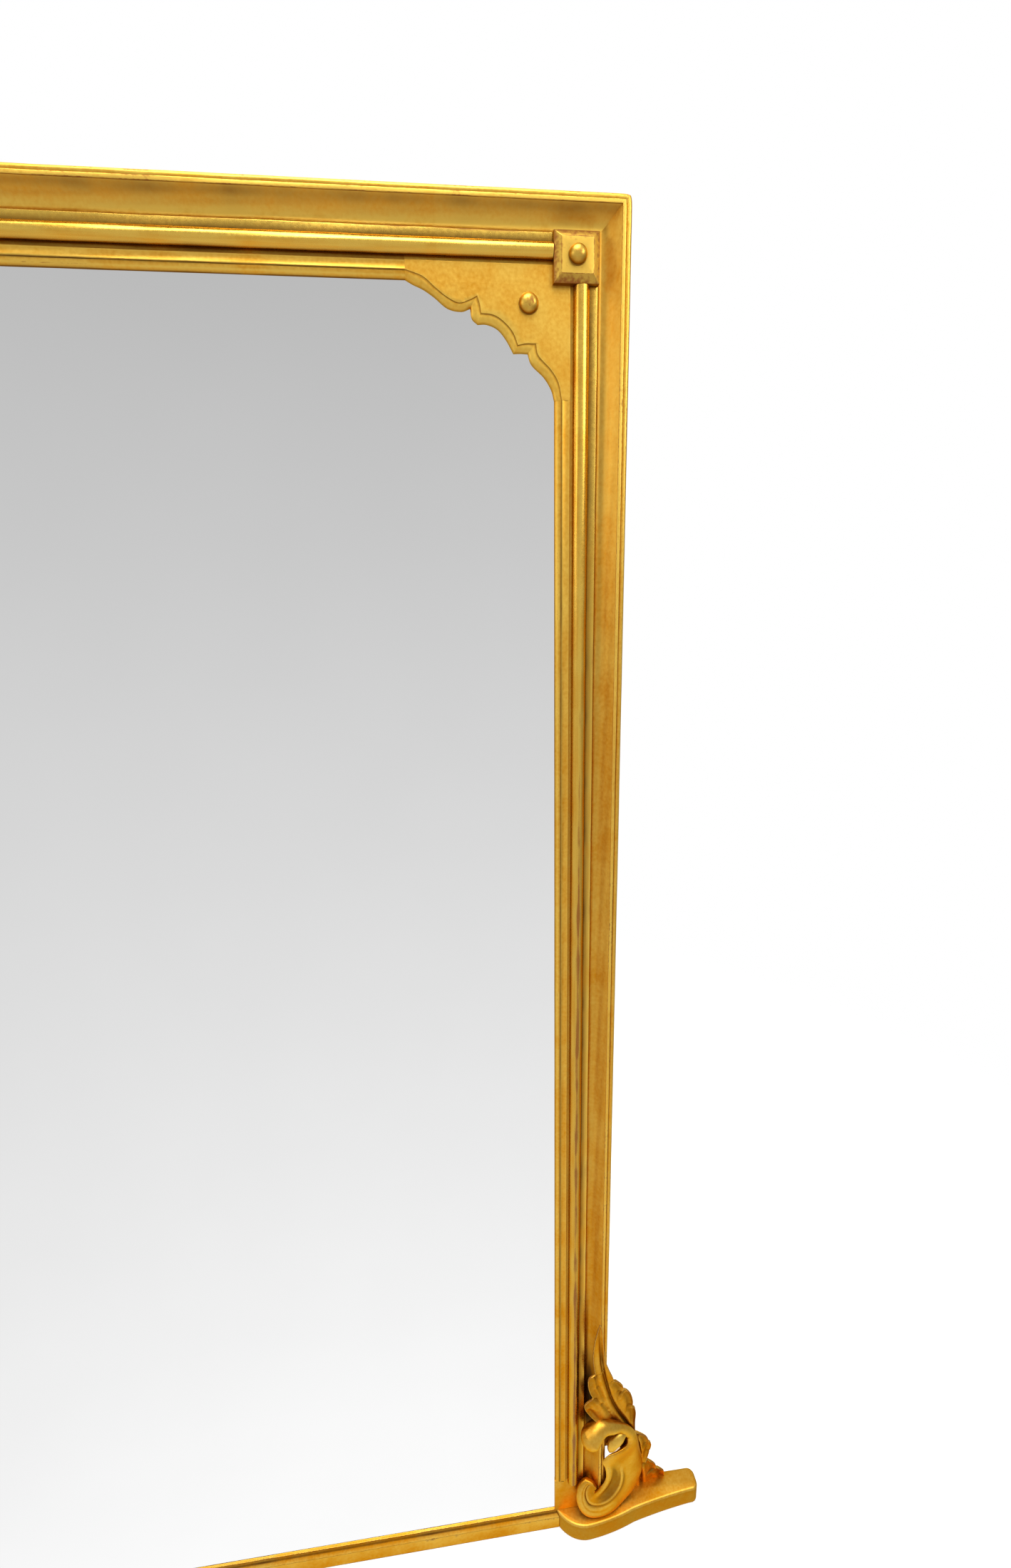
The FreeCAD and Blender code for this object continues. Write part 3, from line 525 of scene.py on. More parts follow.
def reed_section():
    """Reed stick: flat fillet beside the cove, then the half-round."""
    half = arc(((REED_START + REED_IN) / 2, 27.0), (REED_IN - REED_START) / 2, 180, 0, 40)
    fillet = rounded([(REED_OUT, SEAT, 0.0), (REED_OUT, 27.9, 0.8), (REED_START, 27.9, 0.3)])
    outline = thinned(np.concatenate([fillet, half, [(REED_IN, SEAT)]]))
    # Rubbed arris of the fillet and crest of the half-round, their paler part a painted highlight; painted
    # shade in the creases at the half-round's feet.
    rub_and_highlight = np.maximum(0.7 * nearness(outline, [(REED_OUT + 0.4, 27.9)], 0.9),
                     0.45 * nearness(outline, [(44.9, 34.5)], 2.5))
    return outline, rub_and_highlight, nearness(outline, [(REED_START, 27.6), (REED_IN, 27.0)], 3.0)


def slip_section():
    """Sight slip: quirk beside the reed, flat, a fine step and a rounded fall to the glass."""
    quirk = rounded([(REED_IN, SEAT, 0.0), (REED_IN, QUIRK, 0.0), (55.4, QUIRK, 0.0), (55.4, FLAT, 0.5)])
    dish = smooth([(56.0, FLAT), (57.6, 27.15), (59.4, 27.0), (61.2, 27.15), (62.8, FLAT)], 14)
    step = rounded([(63.3, FLAT, 0.35), (63.3, 26.7, 0.0), (64.0, 26.7, 0.0)])
    fall = arc_through((64.0, 26.8), (67.6, 25.9), (SIGHT, 23.3), 14)
    outline = thinned(np.concatenate([quirk, dish, step, fall, [(SIGHT, SEAT)]]))
    # Rubbed arrises, their paler part a painted highlight; painted shade in the quirk, under the fine step
    # and where the fall meets the glass.
    rub_and_highlight = 0.6 * nearness(outline, [(55.8, FLAT), (63.1, FLAT), (67.5, 25.9)], 0.9)
    recess_shade = nearness(outline, [(REED_IN + 0.5, QUIRK), (54.5, QUIRK)], 1.8)
    return outline, rub_and_highlight, np.maximum(recess_shade, nearness(outline, [(63.6, 26.7), (SIGHT, 22.9)], 1.3))


def stile_wear_and_shade(inward, run, rub_and_highlight, hollow):
    """Wear and painted shade along a stile, each a bell across it: a painted shadow in the gap behind the
    carved leaf, the middle of the cove darker over the upper stile, and a reed that is rubbed, and darkened
    with painted shade, over its lower part. The quirk beside the reed keeps little of the painted shade."""
    upper = np.clip(run / 500.0 - 2.0, 0, 1)
    lower = np.clip(2.8 - run / 500.0, 0, 1)
    # Painted shadow in the gap behind the carved leaf, strong enough to turn near-black.
    hollow = hollow + 2.6 * bell(run - FOOT_TOP - 208.0, 58.0) * bell(inward - 22.0, 6.5)
    hollow = hollow + 0.3 * upper * bell(inward - COVE_MIDDLE, 4.5)
    hollow = hollow * (1 - 0.75 * bell(inward - QUIRK_MIDDLE, 2.6))
    # Over its lower part the reed is darkened with painted shade and rubbed more.
    hollow = hollow + 0.42 * lower * bell(inward - REED_MIDDLE, 7.0)
    return rub_and_highlight + 0.45 * lower * bell(inward - REED_MIDDLE, 8.0), hollow


def top_wear_and_shade(inward, run, rub_and_highlight, hollow):
    """Wear and painted light along the top, each a bell across it: painted shade under the lip, and in the
    cove less painted shade and more rubbing, which pales the leaf as a painted highlight.
    """
    # Painted shade under the lip; less of it in the cove, where extra rubbing adds a painted highlight.
    hollow = hollow * (1 - 0.8 * bell(inward - COVE_MIDDLE, 5.0)) + 0.35 * bell(inward - 12.5, 3.0)
    return rub_and_highlight + 0.4 * bell(inward - 23.5, 4.5), hollow


def stick(section, start, end, place, wear_and_shade, knock=0.0, stations=90):
    """Section carried straight along: each point runs from its own start to its own end, so a mitre is a
    cut that depends on how far in the point is. Knock pulls the outer points in near an end, and a slow sum
    of three waves keeps the stick from being dead straight."""
    outline, rub_and_highlight, hollow = section
    t = 0.5 - 0.5 * np.cos(np.pi * np.linspace(0, 1, stations)[:, None])
    inward, level = outline.T
    start, end = start + 0 * inward, end + 0 * inward
    run = start + t * (end - start)
    inward = inward + knock * (np.exp((run - end) / 2.5) + np.exp((start - run) / 2.5))
    wobble = bpy.context.scene.overmantel_gilding.wobble / MM
    wave = np.sin(run / 27.0 + inward) + np.sin(run / 41.0 + 2.1 * level / 10) + np.sin(run / 11.3)
    front = np.clip((level - SEAT + 0.1) * 2, 0, 1) * np.sin(np.pi * t)
    raised = level + wobble * wave * front - 2.2 * wobble * front
    rub_and_highlight, hollow = wear_and_shade(inward, run, rub_and_highlight, hollow)
    across = np.linalg.norm(np.diff(outline, axis=0, prepend=outline[:1]), axis=1).cumsum()
    sheet = np.stack([run, np.broadcast_to(across, run.shape)], -1)
    return patch(place(inward, raised, run), rub_and_highlight=rub_and_highlight, hollow=hollow, sheet=sheet)


def knocked(inward):
    """How much a mitred outer corner is rounded off by knocks, less and less further in."""
    return 1.4 * np.clip((9.0 - inward) / 9.0, 0, 1)


def on_stile(inward, level, run):
    """Stile points: in from the right outer edge, forward from the back, run is the height."""
    return np.stack([HALF - inward, level_y(level), run], -1)


def on_top(inward, level, run):
    """Top rail points: in from the top outer edge, forward from the back, run goes across."""
    return np.stack([run, level_y(level), TOP - inward], -1)


class OVERMANTEL_OT_mouldings(bpy.types.Operator):
    """Outer mouldings: two stiles and the top rail, mitred"""

    bl_idname = "overmantel.mouldings"
    bl_label = "Outer Mouldings"

    def execute(self, context):
        section = moulding_section()
        inward = section[0][:, 0]
        knock = knocked(inward)
        mitre = inward + knock
        stile = stick(section, FOOT_TOP, TOP - mitre, on_stile, stile_wear_and_shade, knock)
        top = stick(section, mitre - HALF, HALF - mitre, on_top, top_wear_and_shade, knock)
        make_pairs(("stile_moulding", [stile], matt_gold(), "matte_gilding", "stile", STICK_SHARP))
        make_piece("top_moulding", [top], matt_gold(), ["top_rail"], STICK_SHARP)
        return {"FINISHED"}


class OVERMANTEL_OT_reeds(bpy.types.Operator):
    """Burnished reeds beside the cove, block to block and block to foot"""

    bl_idname = "overmantel.reeds"
    bl_label = "Reeds"

    def execute(self, context):
        section = reed_section()
        short = 0.4
        reach = low("right_corner_block")[0] - short
        foot = low("right_reed")[2]
        head = high("right_reed")[2] - short
        upright = stick(section, foot, head, on_stile, stile_wear_and_shade)
        top = stick(section, -reach, reach, on_top, top_wear_and_shade)
        make_pairs(("reed_stick", [upright], drawn_gold(), "burnished_gilding", "reed", STICK_SHARP))
        make_piece("top_reed_stick", [top], drawn_gold(), ["top_reed"], STICK_SHARP)
        return {"FINISHED"}


# Spandrels: edges are (left along the top, down the side) from the corner of the slips' front edges


SPANDREL_FRONT = (
    [(145.0, 0.0), (129.2, 5.1), (118.9, 13.2), (107.9, 21.0), (96.9, 25.5), (86.9, 22.8), (79.8, 19.4)],
    [(79.8, 19.4), (77.4, 26.3), (76.7, 33.4)],
    [(76.7, 33.4), (65.0, 34.6), (55.8, 39.6), (47.0, 48.5), (42.3, 59.4)],
    [(42.3, 59.4), (33.8, 57.8), (25.1, 57.9)],
    [(25.1, 57.9), (22.6, 68.0), (10.9, 79.5), (3.4, 90.9), (0.0, 106.0)],
)
SPANDREL_GLASS = (
    [(145.0, 6.7), (138.0, 10.3), (129.2, 13.8), (119.7, 19.6), (107.5, 28.6), (95.0, 31.0), (86.2, 28.4)],
    [(86.2, 28.4), (84.9, 36.6), (79.6, 41.4)],
    [(79.6, 41.4), (71.0, 41.2), (61.0, 45.0), (53.0, 53.6), (46.0, 65.3)],
    [(46.0, 65.3), (39.5, 65.0), (32.4, 65.2)],
    [(32.4, 65.2), (28.6, 74.6), (16.8, 85.2), (9.6, 96.0), (6.7, 106.0)],
)


def spandrel_grid():
    """Spandrel as rows from the quirk, over the flat, to the shaped edge and down to the glass. Each row is a
    blend of three curves: the corner's two straight edges, the front edge and the glass edge."""
    front = joined(SPANDREL_FRONT, 44)
    glass = joined(SPANDREL_GLASS, 44)
    t = np.linspace(0, 5, len(front))
    quirk = REED_IN + 3.0 - SIGHT_LINE
    left, foot = SPANDREL_FRONT[0][0][0], SPANDREL_FRONT[-1][-1][1]
    back = np.stack([np.interp(t, [0, 2.3, 5], [left, quirk, quirk]),
                     np.interp(t, [0, 2.3, 5], [quirk, quirk, foot])], 1)
    outer = back + np.where(t[:, None] < 2.3, [0.0, -3.0], [-3.0, 0.0])
    turn = np.radians(np.linspace(90, 8, 10))
    rows = [(outer, outer, 0.0, SEAT), (outer, outer, 0.0, QUIRK), (back, back, 0.0, QUIRK),
            (back, front, 0.0, 27.2), (back, front, 0.005, 27.45), (back, front, 0.015, FLAT),
            (back, front, 0.03, FLAT), (back, front, 0.35, FLAT), (back, front, 0.7, FLAT),
            (back, front, 0.9, FLAT), (front, glass, -0.06, FLAT), (front, glass, -0.03, 27.45),
            (front, glass, 0.0, 27.2), (front, glass, 0.01, 26.9), (front, glass, 0.05, 26.9)]
    rows += [(front, glass, 0.1 + 0.9 * math.cos(a), 23.3 + 3.6 * math.sin(a)) for a in turn]
    rows += [(front, glass, 1.0, SEAT)]
    points, rub_and_highlight, hollow = [], [], []
    for a, b, share, level in rows:
        p = a + share * (b - a)
        points.append(np.stack([HALF - SIGHT_LINE - p[:, 0], np.full(len(p), level_y(level)),
                                TOP - SIGHT_LINE - p[:, 1]], 1))
        edge = a is front
        # Rubbed arris and fall, their paler part a painted highlight; painted shade under the step at the
        # shaped edge and in the quirk, and the flat a little darker all over.
        rub_and_highlight.append(0.5 * (edge and -0.2 < share <= 0.0) + 0.25 * (edge and 0.3 < share < 0.9))
        hollow.append(0.9 * (edge and 0.0 < share < 0.11) + 0.5 * (level == QUIRK) + 0.16 * (level == FLAT))
    grid = np.array(points).transpose(1, 0, 2)
    return patch(grid, rub_and_highlight=np.array(rub_and_highlight)[None], hollow=np.array(hollow)[None], sheet=grid[..., ::2])


class OVERMANTEL_OT_slips(bpy.types.Operator):
    """Sight slips and fretted corner spandrels"""

    bl_idname = "overmantel.slips"
    bl_label = "Slips and Spandrels"

    def execute(self, context):
        section = slip_section()
        upright = stick(section, BASE_TOP, SPANDREL_FOOT, on_stile, stile_wear_and_shade)
        top = stick(section, -SPANDREL_LEFT, SPANDREL_LEFT, on_top, top_wear_and_shade)
        make_pairs(
            ("sight_moulding", [upright], matt_gold(), "matte_gilding", "sight_slip", STICK_SHARP),
            ("fretted_spandrel", [spandrel_grid()], matt_gold(), "matte_gilding", "spandrel", STICK_SHARP))
        make_piece("top_sight_moulding", [top], matt_gold(), ["top_sight_slip"],
                   STICK_SHARP)
        return {"FINISHED"}


def block_grid():
    """Corner block: eased square rings stacked forward, straight side, eased arris, bevel and small face.
    A ring is (half its side, easing, level, rub, hollow)."""
    # The hollow values are painted shade, heaviest where the block meets the moulding; rubbed arrises are
    # paler, partly a painted highlight.
    rings = [(21.5, 0.5, 22.6, 0, 1.0), (21.5, 0.5, 32.4, 0.4, 0.7), (21.35, 0.6, 32.9, 0.95, 0.35),
             (20.9, 0.6, 33.3, 0.85, 0.4), (15.6, 0.8, 37.1, 0.6, 0.45), (15.1, 0.8, 37.4, 0.9, 0.25),
             (14.4, 0.9, BLOCK_FACE, 0.6, 0.2), (8.0, 0.8, BLOCK_FACE, 0.5, 0.45),
             (0.5, 0.05, BLOCK_FACE, 0.5, 0.6)]
    points = []
    for half, ease, level, *_ in rings:
        corners = [(-half, -half, ease), (half, -half, ease), (half, half, ease), (-half, half, ease)]
        x, z = rounded(corners, 6).T
        y = np.full(len(x), level_y(level))
        points.append(np.stack([BLOCK_MIDDLE[0] + x, y, BLOCK_MIDDLE[2] + z], 1))
    rub_and_highlight, hollow = np.array(rings)[:, 3:, None].transpose(1, 0, 2)
    return patch(np.array(points), rub_and_highlight=rub_and_highlight, hollow=hollow)


def turned_grid(middle, base, profile, count=48):
    """Turned dome: a profile of (radius, rise) spun about the axis that faces the viewer."""
    p = np.asarray(profile, float)
    a = np.linspace(0, 2 * np.pi, count, endpoint=False)
    x = middle[0] + p[:, :1] * np.cos(a)
    z = middle[2] + p[:, :1] * np.sin(a)
    y = level_y(base + p[:, 1:]) + 0 * a
    rise = p[:, 1] / p[:, 1].max()
    # Rubbed crown, its paler part a painted highlight; the hollow darkens the whole dome a little and adds
    # painted shade in the quirk at its foot.
    rub_and_highlight = 0.85 * np.clip(rise * 2 - 1.0, 0, 1)[:, None]
    hollow = (0.35 + 0.6 * np.exp(-(p[:, 1] - 0.6) ** 2 / 2.5))[:, None]
    return patch(np.stack([x, y, z], -1), rub_and_highlight=rub_and_highlight, hollow=hollow)


def dome(radius, rise, count=14):
    """Dome profile: a fine fillet, a quirk, then part of a circle up to the crown."""
    turn = np.radians(np.linspace(0, 90, count))
    cap = np.stack([(radius - 0.5) * np.cos(turn), 0.7 + (rise - 0.7) * np.sin(turn)], 1)
    cap[-1, 0] = 0.05
    return np.concatenate([[(radius, 0.0), (radius, 0.5), (radius - 0.4, 0.7)], cap])


class OVERMANTEL_OT_corners(bpy.types.Operator):
    """Corner blocks, their buttons and the spandrels' bosses"""

    bl_idname = "overmantel.corners"
    bl_label = "Corner Blocks"

    def execute(self, context):
        button = turned_grid(BLOCK_MIDDLE, BLOCK_FACE, dome(9.0, 8.0))
        boss = turned_grid(BOSS_MIDDLE, FLAT, dome(9.5, 7.0))
        make_pairs(
            ("bevelled_block", [block_grid()], matt_gold(), "matte_gilding", "corner_block", BLOCK_SHARP),
            ("turned_button", [button], bright_gold(), "burnished_gilding", "corner_button", BLOCK_SHARP),
            ("turned_boss", [boss], bright_gold(), "burnished_gilding", "spandrel_boss", BLOCK_SHARP))
        return {"FINISHED"}


# Feet and bottom rail


FOOT_ROUND = ((-70.0, 19.3), (-50.5, 42.6), (-22.9, 49.5))


def foot_outline(ease, glass, boards):
    """Foot from above as (out from the stile, forward from the back), drawn in by ease at its edge. Where
    the boards or the glass pass, its inner back corner is cut away."""
    front = arc_through(*FOOT_ROUND, 36)
    start = SEAT if glass else FOOT_ROUND[0][1]
    if glass:
        first = (np.interp(start, front[:, 1], front[:, 0]), start)
        front = np.concatenate([[first], front[front[:, 1] > start + 0.2]])
    front = smooth(front, 36)
    sweep = arc_through(FOOT_ROUND[-1], (10.2, 46.0), (44.4, 38.7), 22)[1:]
    tail = arc_through((44.4, 38.7), (88.8, 32.4), (133.9, 28.0), 22)[1:]
    end = arc((138.0, 18.0), 10.0, 80, 0, 10)
    back = arc((138.0, 10.0), 10.0, 0, -90, 10)
    edge = FOOT_ROUND[0][0]
    inner = [(-BOARDS_IN, 0.0)]
    inner += [(-BOARDS_IN, BOARDS), (-REBATE_IN if glass else edge, BOARDS)] if boards else [
        (edge, 0.0), (edge, BOARDS)]
    inner += [(-REBATE_IN, start), (-REBATE_IN, start)] if glass else [(edge, 14.0), (edge, 17.0)]
    shown = np.concatenate([front, sweep, tail, end, back])
    along = np.gradient(shown, axis=0)
    normal = np.stack([along[:, 1], -along[:, 0]], 1) / np.linalg.norm(along, axis=1, keepdims=True)
    weight = np.minimum(1.0, np.arange(len(shown)) / 6.0)[:, None]
    return np.concatenate([shown + normal * ease * weight, inner])


def foot_grid():
    """Foot as outlines stacked upward: a small easing below, a straight face and a rounded upper edge.
    A ring is (height, easing, cut for the glass, cut for the boards)."""
    rings = [(0.0, 1.2, False, False), (0.5, 0.4, False, False), (1.6, 0.0, False, False),
             (BOARDS_LEDGE, 0.0, False, False), (BOARDS_LEDGE, 0.0, False, True),
             (GLASS_LEDGE, 0.0, False, True), (GLASS_LEDGE, 0.0, True, True), (24.5, 0.0, True, True),
             (25.8, 0.25, True, True), (26.9, 0.95, True, True), (27.6, 1.9, True, True),
             (28.0, 3.2, True, True)]
    points = []
    for z, *cut in rings:
        out, level = foot_outline(*cut).T
        points.append(np.stack([HALF + out, level_y(level), np.full(len(out), z)], 1))
    grid = np.array(points)
    z = grid[..., 2]
    # A painted highlight along the rounded top edge and a little rubbing at the bottom; painted shade over
    # the face below the top edge.
    rub_and_highlight = np.where((z > 25) & (z < 27.8), 0.5, 0.3 * (z < 1))
    sheet = np.stack([grid[..., 0], z - grid[..., 1]], -1)
    return patch(grid, rub_and_highlight=rub_and_highlight, hollow=0.45 * (z < 25.5), sheet=sheet)


def base_block_grid():
    """Base block: rectangular rings stacked forward with an eased front edge."""
    a, b = low("right_base_block"), high("right_base_block")
    middle = (a + b) / 2
    half = (b - a) / 2
    rings = [(0.0, b[1]), (0.0, a[1] + 0.7), (0.2, a[1] + 0.2), (0.7, a[1])]
    square = np.array([(-1, -1), (1, -1), (1, 1), (-1, 1)], float)
    points = [np.stack([middle[0] + (half[0] - e) * square[:, 0], np.full(4, y),
                        middle[2] + (half[2] - e) * square[:, 1]], 1) for e, y in rings]
    # Rubbed front edge, its paler part a painted highlight.
    return patch(np.array(points), rub_and_highlight=np.array([0, 0, 0.6, 0.1])[:, None])


def rail_grid():
    """Bottom rail: lip, small cove, ledge and front face carried across; its ends die into the feet."""
    cove = arc_through((24.3, 28.0), (24.85, 23.65), (26.5, 22.2), 12)
    face = rounded([(29.1, 20.4, 0.5), (29.1, 0.0, 0.8)])
    behind = [(0.0, 0.0), (0.0, BOARDS_LEDGE), (BOARDS, BOARDS_LEDGE), (BOARDS, GLASS_LEDGE),
              (SEAT, GLASS_LEDGE), (SEAT, 28.0)]
    outline = thinned(np.concatenate([behind, cove, face]))
    front = arc_through(*FOOT_ROUND, 60)
    level, z = outline.T
    reach = HALF + np.interp(level, [0.0, *front[:, 1]], [FOOT_ROUND[0][0], *front[:, 0]]) - 0.2
    t = np.linspace(-1, 1, 80)[:, None]
    points = np.stack([t * reach, level_y(level) + 0 * t, z + 0 * t], -1)
    # Rubbed lip and upper arris of the face, their paler part a painted highlight; painted shade in the small
    # cove.
    rub_and_highlight = 0.8 * nearness(outline, [(24.2, 28.0), (29.1, 20.4)], 1.0)
    return patch(points, rub_and_highlight=rub_and_highlight, hollow=nearness(outline, [(25.0, 23.4)], 2.2))


class OVERMANTEL_OT_feet(bpy.types.Operator):
    """Shaped feet, base blocks and the bottom rail"""

    bl_idname = "overmantel.feet"
    bl_label = "Feet and Bottom Rail"

    def execute(self, context):
        make_pairs(
            ("shaped_foot", [foot_grid()], matt_gold(), "matte_gilding", "foot", BLOCK_SHARP),
            ("plain_base", [base_block_grid()], matt_gold(), "matte_gilding", "base_block", BLOCK_SHARP))
        make_piece("bottom_moulding", [rail_grid()], matt_gold(), ["bottom_rail"],
                   BLOCK_SHARP)
        return {"FINISHED"}


# Carved brackets: (out from the stile's edge, up from the foot)


LEAF_RIGHT = (
    [(102.5, 0.0), (101.5, 7.8), (97.0, 15.2), (90.5, 20.0)],
    [(87.0, 20.8), (86.5, 30.0), (81.0, 40.0), (73.5, 46.5)],
    [(69.0, 47.5), (71.5, 56.0), (74.0, 69.0), (76.2, 80.0), (74.0, 89.0)],
    [(70.5, 88.5), (70.5, 95.0), (66.5, 104.5), (59.0, 113.0), (51.0, 119.0)],
    [(47.0, 120.5), (47.2, 133.0), (46.8, 147.0), (46.8, 165.0), (44.4, 179.0)],
    [(40.0, 180.5), (41.3, 188.0), (39.5, 200.0), (36.0, 211.0), (30.5, 221.0)],
    [(23.8, 222.5), (24.4, 229.0), (20.5, 237.5), (13.5, 247.5)],
    [(9.6, 249.0), (6.6, 259.5), (1.0, 275.0), (-4.0, 292.0), (-7.4, 312.0), (-9.4, 335.0), (-11.5, 355.0),
     (-15.0, 365.5)],
)
LEAF_LEFT = (
    [(0.5, 0.0), (0.5, 36.0), (0.5, 72.0)],
    [(0.5, 72.0), (13.0, 75.0), (22.0, 82.0), (25.5, 93.0), (24.5, 105.0), (17.0, 114.0), (0.5, 118.0)],
    [(0.5, 118.0), (0.5, 140.0), (0.5, 168.0)],
    [(0.5, 168.0), (-9.0, 180.0), (-19.0, 189.0), (-27.0, 200.0), (-32.0, 211.0), (-32.4, 219.0),
     (-27.0, 225.2), (-20.5, 228.5)],
    [(-20.5, 228.5), (-24.5, 238.0), (-27.6, 248.0), (-29.0, 259.8), (-28.2, 269.0), (-24.5, 272.0),
     (-18.6, 272.6)],
    [(-18.6, 272.6), (-21.3, 286.0), (-23.1, 302.1), (-23.3, 319.2), (-21.8, 337.0), (-18.9, 353.9),
     (-15.4, 365.6)],
)
LEAF_VEIN = [(66.0, -10.0), (62.0, 30.0), (56.0, 75.0), (47.0, 112.0), (33.0, 149.0), (18.0, 183.0),
             (6.9, 214.4), (-1.0, 245.0), (-7.3, 274.4), (-10.6, 301.6), (-13.3, 330.0), (-15.2, 366.0)]
# Cuts and ridges as (out, up, out, up, height, width)
LEAF_CUTS = (
    (30.6, 220.5, 20.0, 206.5, 1.5, 1.2), (29.0, 224.5, 17.5, 210.5, -1.6, 1.7),
    (44.6, 178.5, 36.0, 178.0, 1.5, 1.2), (43.5, 183.0, 34.0, 183.5, -1.6, 1.7),
    (14.0, 247.5, 7.0, 243.0, 1.0, 1.1), (13.0, 251.5, 5.0, 248.0, -1.2, 1.5),
    (51.0, 123.0, 54.5, 96.0, -2.2, 2.0), (54.5, 96.0, 60.0, 50.0, -1.6, 2.2),
    (73.5, 46.5, 60.0, 38.0, -2.2, 1.8), (73.8, 90.0, 62.0, 84.0, -1.3, 1.6),
    (73.5, 70.0, 63.0, 68.0, -0.9, 1.6),
    (90.5, 20.0, 72.0, 16.0, -1.6, 1.8), (101.0, 8.0, 78.0, 6.0, -0.9, 1.5),
    (-20.5, 228.5, -8.0, 216.0, -1.6, 1.8), (-8.0, 216.0, 4.0, 192.0, -1.3, 2.2),
    (-18.6, 272.0, -14.5, 248.0, -1.5, 1.8), (-14.5, 248.0, -5.0, 222.0, -1.0, 2.2),
    (3.0, 198.0, 14.0, 172.0, 0.9, 1.6), (-26.0, 240.0, -17.0, 250.0, 0.7, 3.0),
    (-28.0, 210.0, -14.0, 206.0, 0.7, 3.0),
)


def edge_at(stretches, up):
    """How far out a leaf edge is at each height."""
    line = joined(stretches, 80)
    return np.interp(up, np.maximum.accumulate(line[:, 1]) + np.arange(len(line)) * 1e-7, line[:, 0])


def stile_level(out):
    """Front of the stile's moulding under the leaf, forward from the back; nothing past the outer edge."""
    inward = [0.0, 0.97, 3.3, 6.4, 6.5, 10.1, 10.2, 14.0, 18.0, 22.5, 26.0, 29.2, 29.4, 37.4]
    level = [30.0, 36.3, 37.3, 35.2, 40.0, 40.0, 38.6, 31.5, 26.8, 24.6, 25.1, 26.6, 27.9, 27.9]
    return np.where(out > 0, 0.0, np.interp(-out, inward, level))


def plane_level(out, up):
    """Level of the bracket's leaning, splayed plane, forward from the back."""
    return 21.3 - 0.158 * out + 0.0766 * up


def leaf_grid():
    """Acanthus leaf as a relief: rows at rising heights run from the left edge to the right one. The height
    over the leaning plane is a dished blade with a turned-up rim, a vein, and short cuts and ridges, each a
    bell of the distance to its line. The back follows the stile's moulding."""
    c = bpy.context.scene.overmantel_carving
    up = 365.0 * np.linspace(0, 1, 380)[:, None]
    share = np.linspace(0, 1, 120)[None]
    share = share - 0.03 * np.sin(4 * np.pi * share)
    left, right = edge_at(LEAF_LEFT, up), edge_at(LEAF_RIGHT, up)
    out = left + share * (right - left)
    vein = smooth(LEAF_VEIN, 200)
    vein_out = np.interp(up, vein[:, 1], vein[:, 0])
    outline = np.concatenate([joined(LEAF_LEFT, 160), joined(LEAF_RIGHT, 160)])
    outline = outline[outline[:, 1] > 0.5]
    edge = np.stack([np.hypot(row[:, None] - outline[:, 0], z - outline[:, 1]).min(1)
                     for row, z in zip(out, up[:, 0])])
    edge = np.minimum(edge, np.minimum(out - left, right - out))
    size = np.clip((375.0 - up) / 130.0, 0.25, 1.0)
    relief = c.rim / MM * bell(edge, 1.7) - 1.8 * size * bell(edge - 6.0, 4.0)
    relief = relief - c.vein / MM * size * bell(out - vein_out, 2.0)
    relief = relief + 1.3 * size * bell(np.abs(out - vein_out) - 5.5, 3.2)
    relief = relief + 0.5 * size * np.sin((out + 0.33 * up) / 2.3) * np.clip(edge / 8 - 0.4, 0, 1)
    for x0, z0, x1, z1, height, width in LEAF_CUTS:
        dx, dz = x1 - x0, z1 - z0
        t = np.clip(((out - x0) * dx + (up - z0) * dz) / (dx * dx + dz * dz), 0, 1)
        away = np.hypot(out - x0 - t * dx, up - z0 - t * dz)
        relief = relief + 1.3 * height * (1 - 0.6 * t) * bell(away, width)
    fall = -1.6 * np.clip(1 - edge / 0.9, 0, 1) ** 2
    over = np.maximum(0, 44.5 - plane_level(-7.0, up)) * bell(out + 7.0, 15.0)
    face = plane_level(out, up) - 0.8 + over * np.clip((up - 150) / 30, 0, 1)
    stout = np.clip((170 - up) / 60, 0, 1) * np.clip(edge / 12, 0, 1)
    thick = 1.0 + 8.0 * np.clip(edge / 14.0, 0, 1) ** 0.8 + 6.0 * stout
    front = face + relief + fall
    least = np.where(out < 0, stile_level(out) + 0.25, 0.3)
    behind = np.maximum(np.minimum(face - thick, front - 1.0), least)
    front = np.maximum(front, behind + 0.8)
    z = FOOT_TOP + np.broadcast_to(up, out.shape)
    a = np.stack([HALF + out, level_y(front), z], -1)
    b = np.stack([HALF + out, level_y(behind), z], -1)[:, ::-1]
    # Rubbed rims and raised relief, their paler part a painted highlight.
    rub_and_highlight = np.clip(0.8 * bell(edge, 1.1) + 0.35 * np.clip(relief, 0, 1) - 0.2, 0, 1)
    # Painted shade in the sunken vein, cuts and dish.
    recess_shade = np.clip(-relief / 2.2, 0, 1) * 0.9
    grid = np.concatenate([a, b], 1)
    sheet = np.concatenate([np.stack([z, out], -1), np.stack([z, out], -1)[:, ::-1]], 1)
    return patch(grid, rub_and_highlight=np.concatenate([rub_and_highlight, 0 * rub_and_highlight], 1), hollow=np.concatenate([recess_shade, 0 * recess_shade], 1),
                 sheet=sheet)


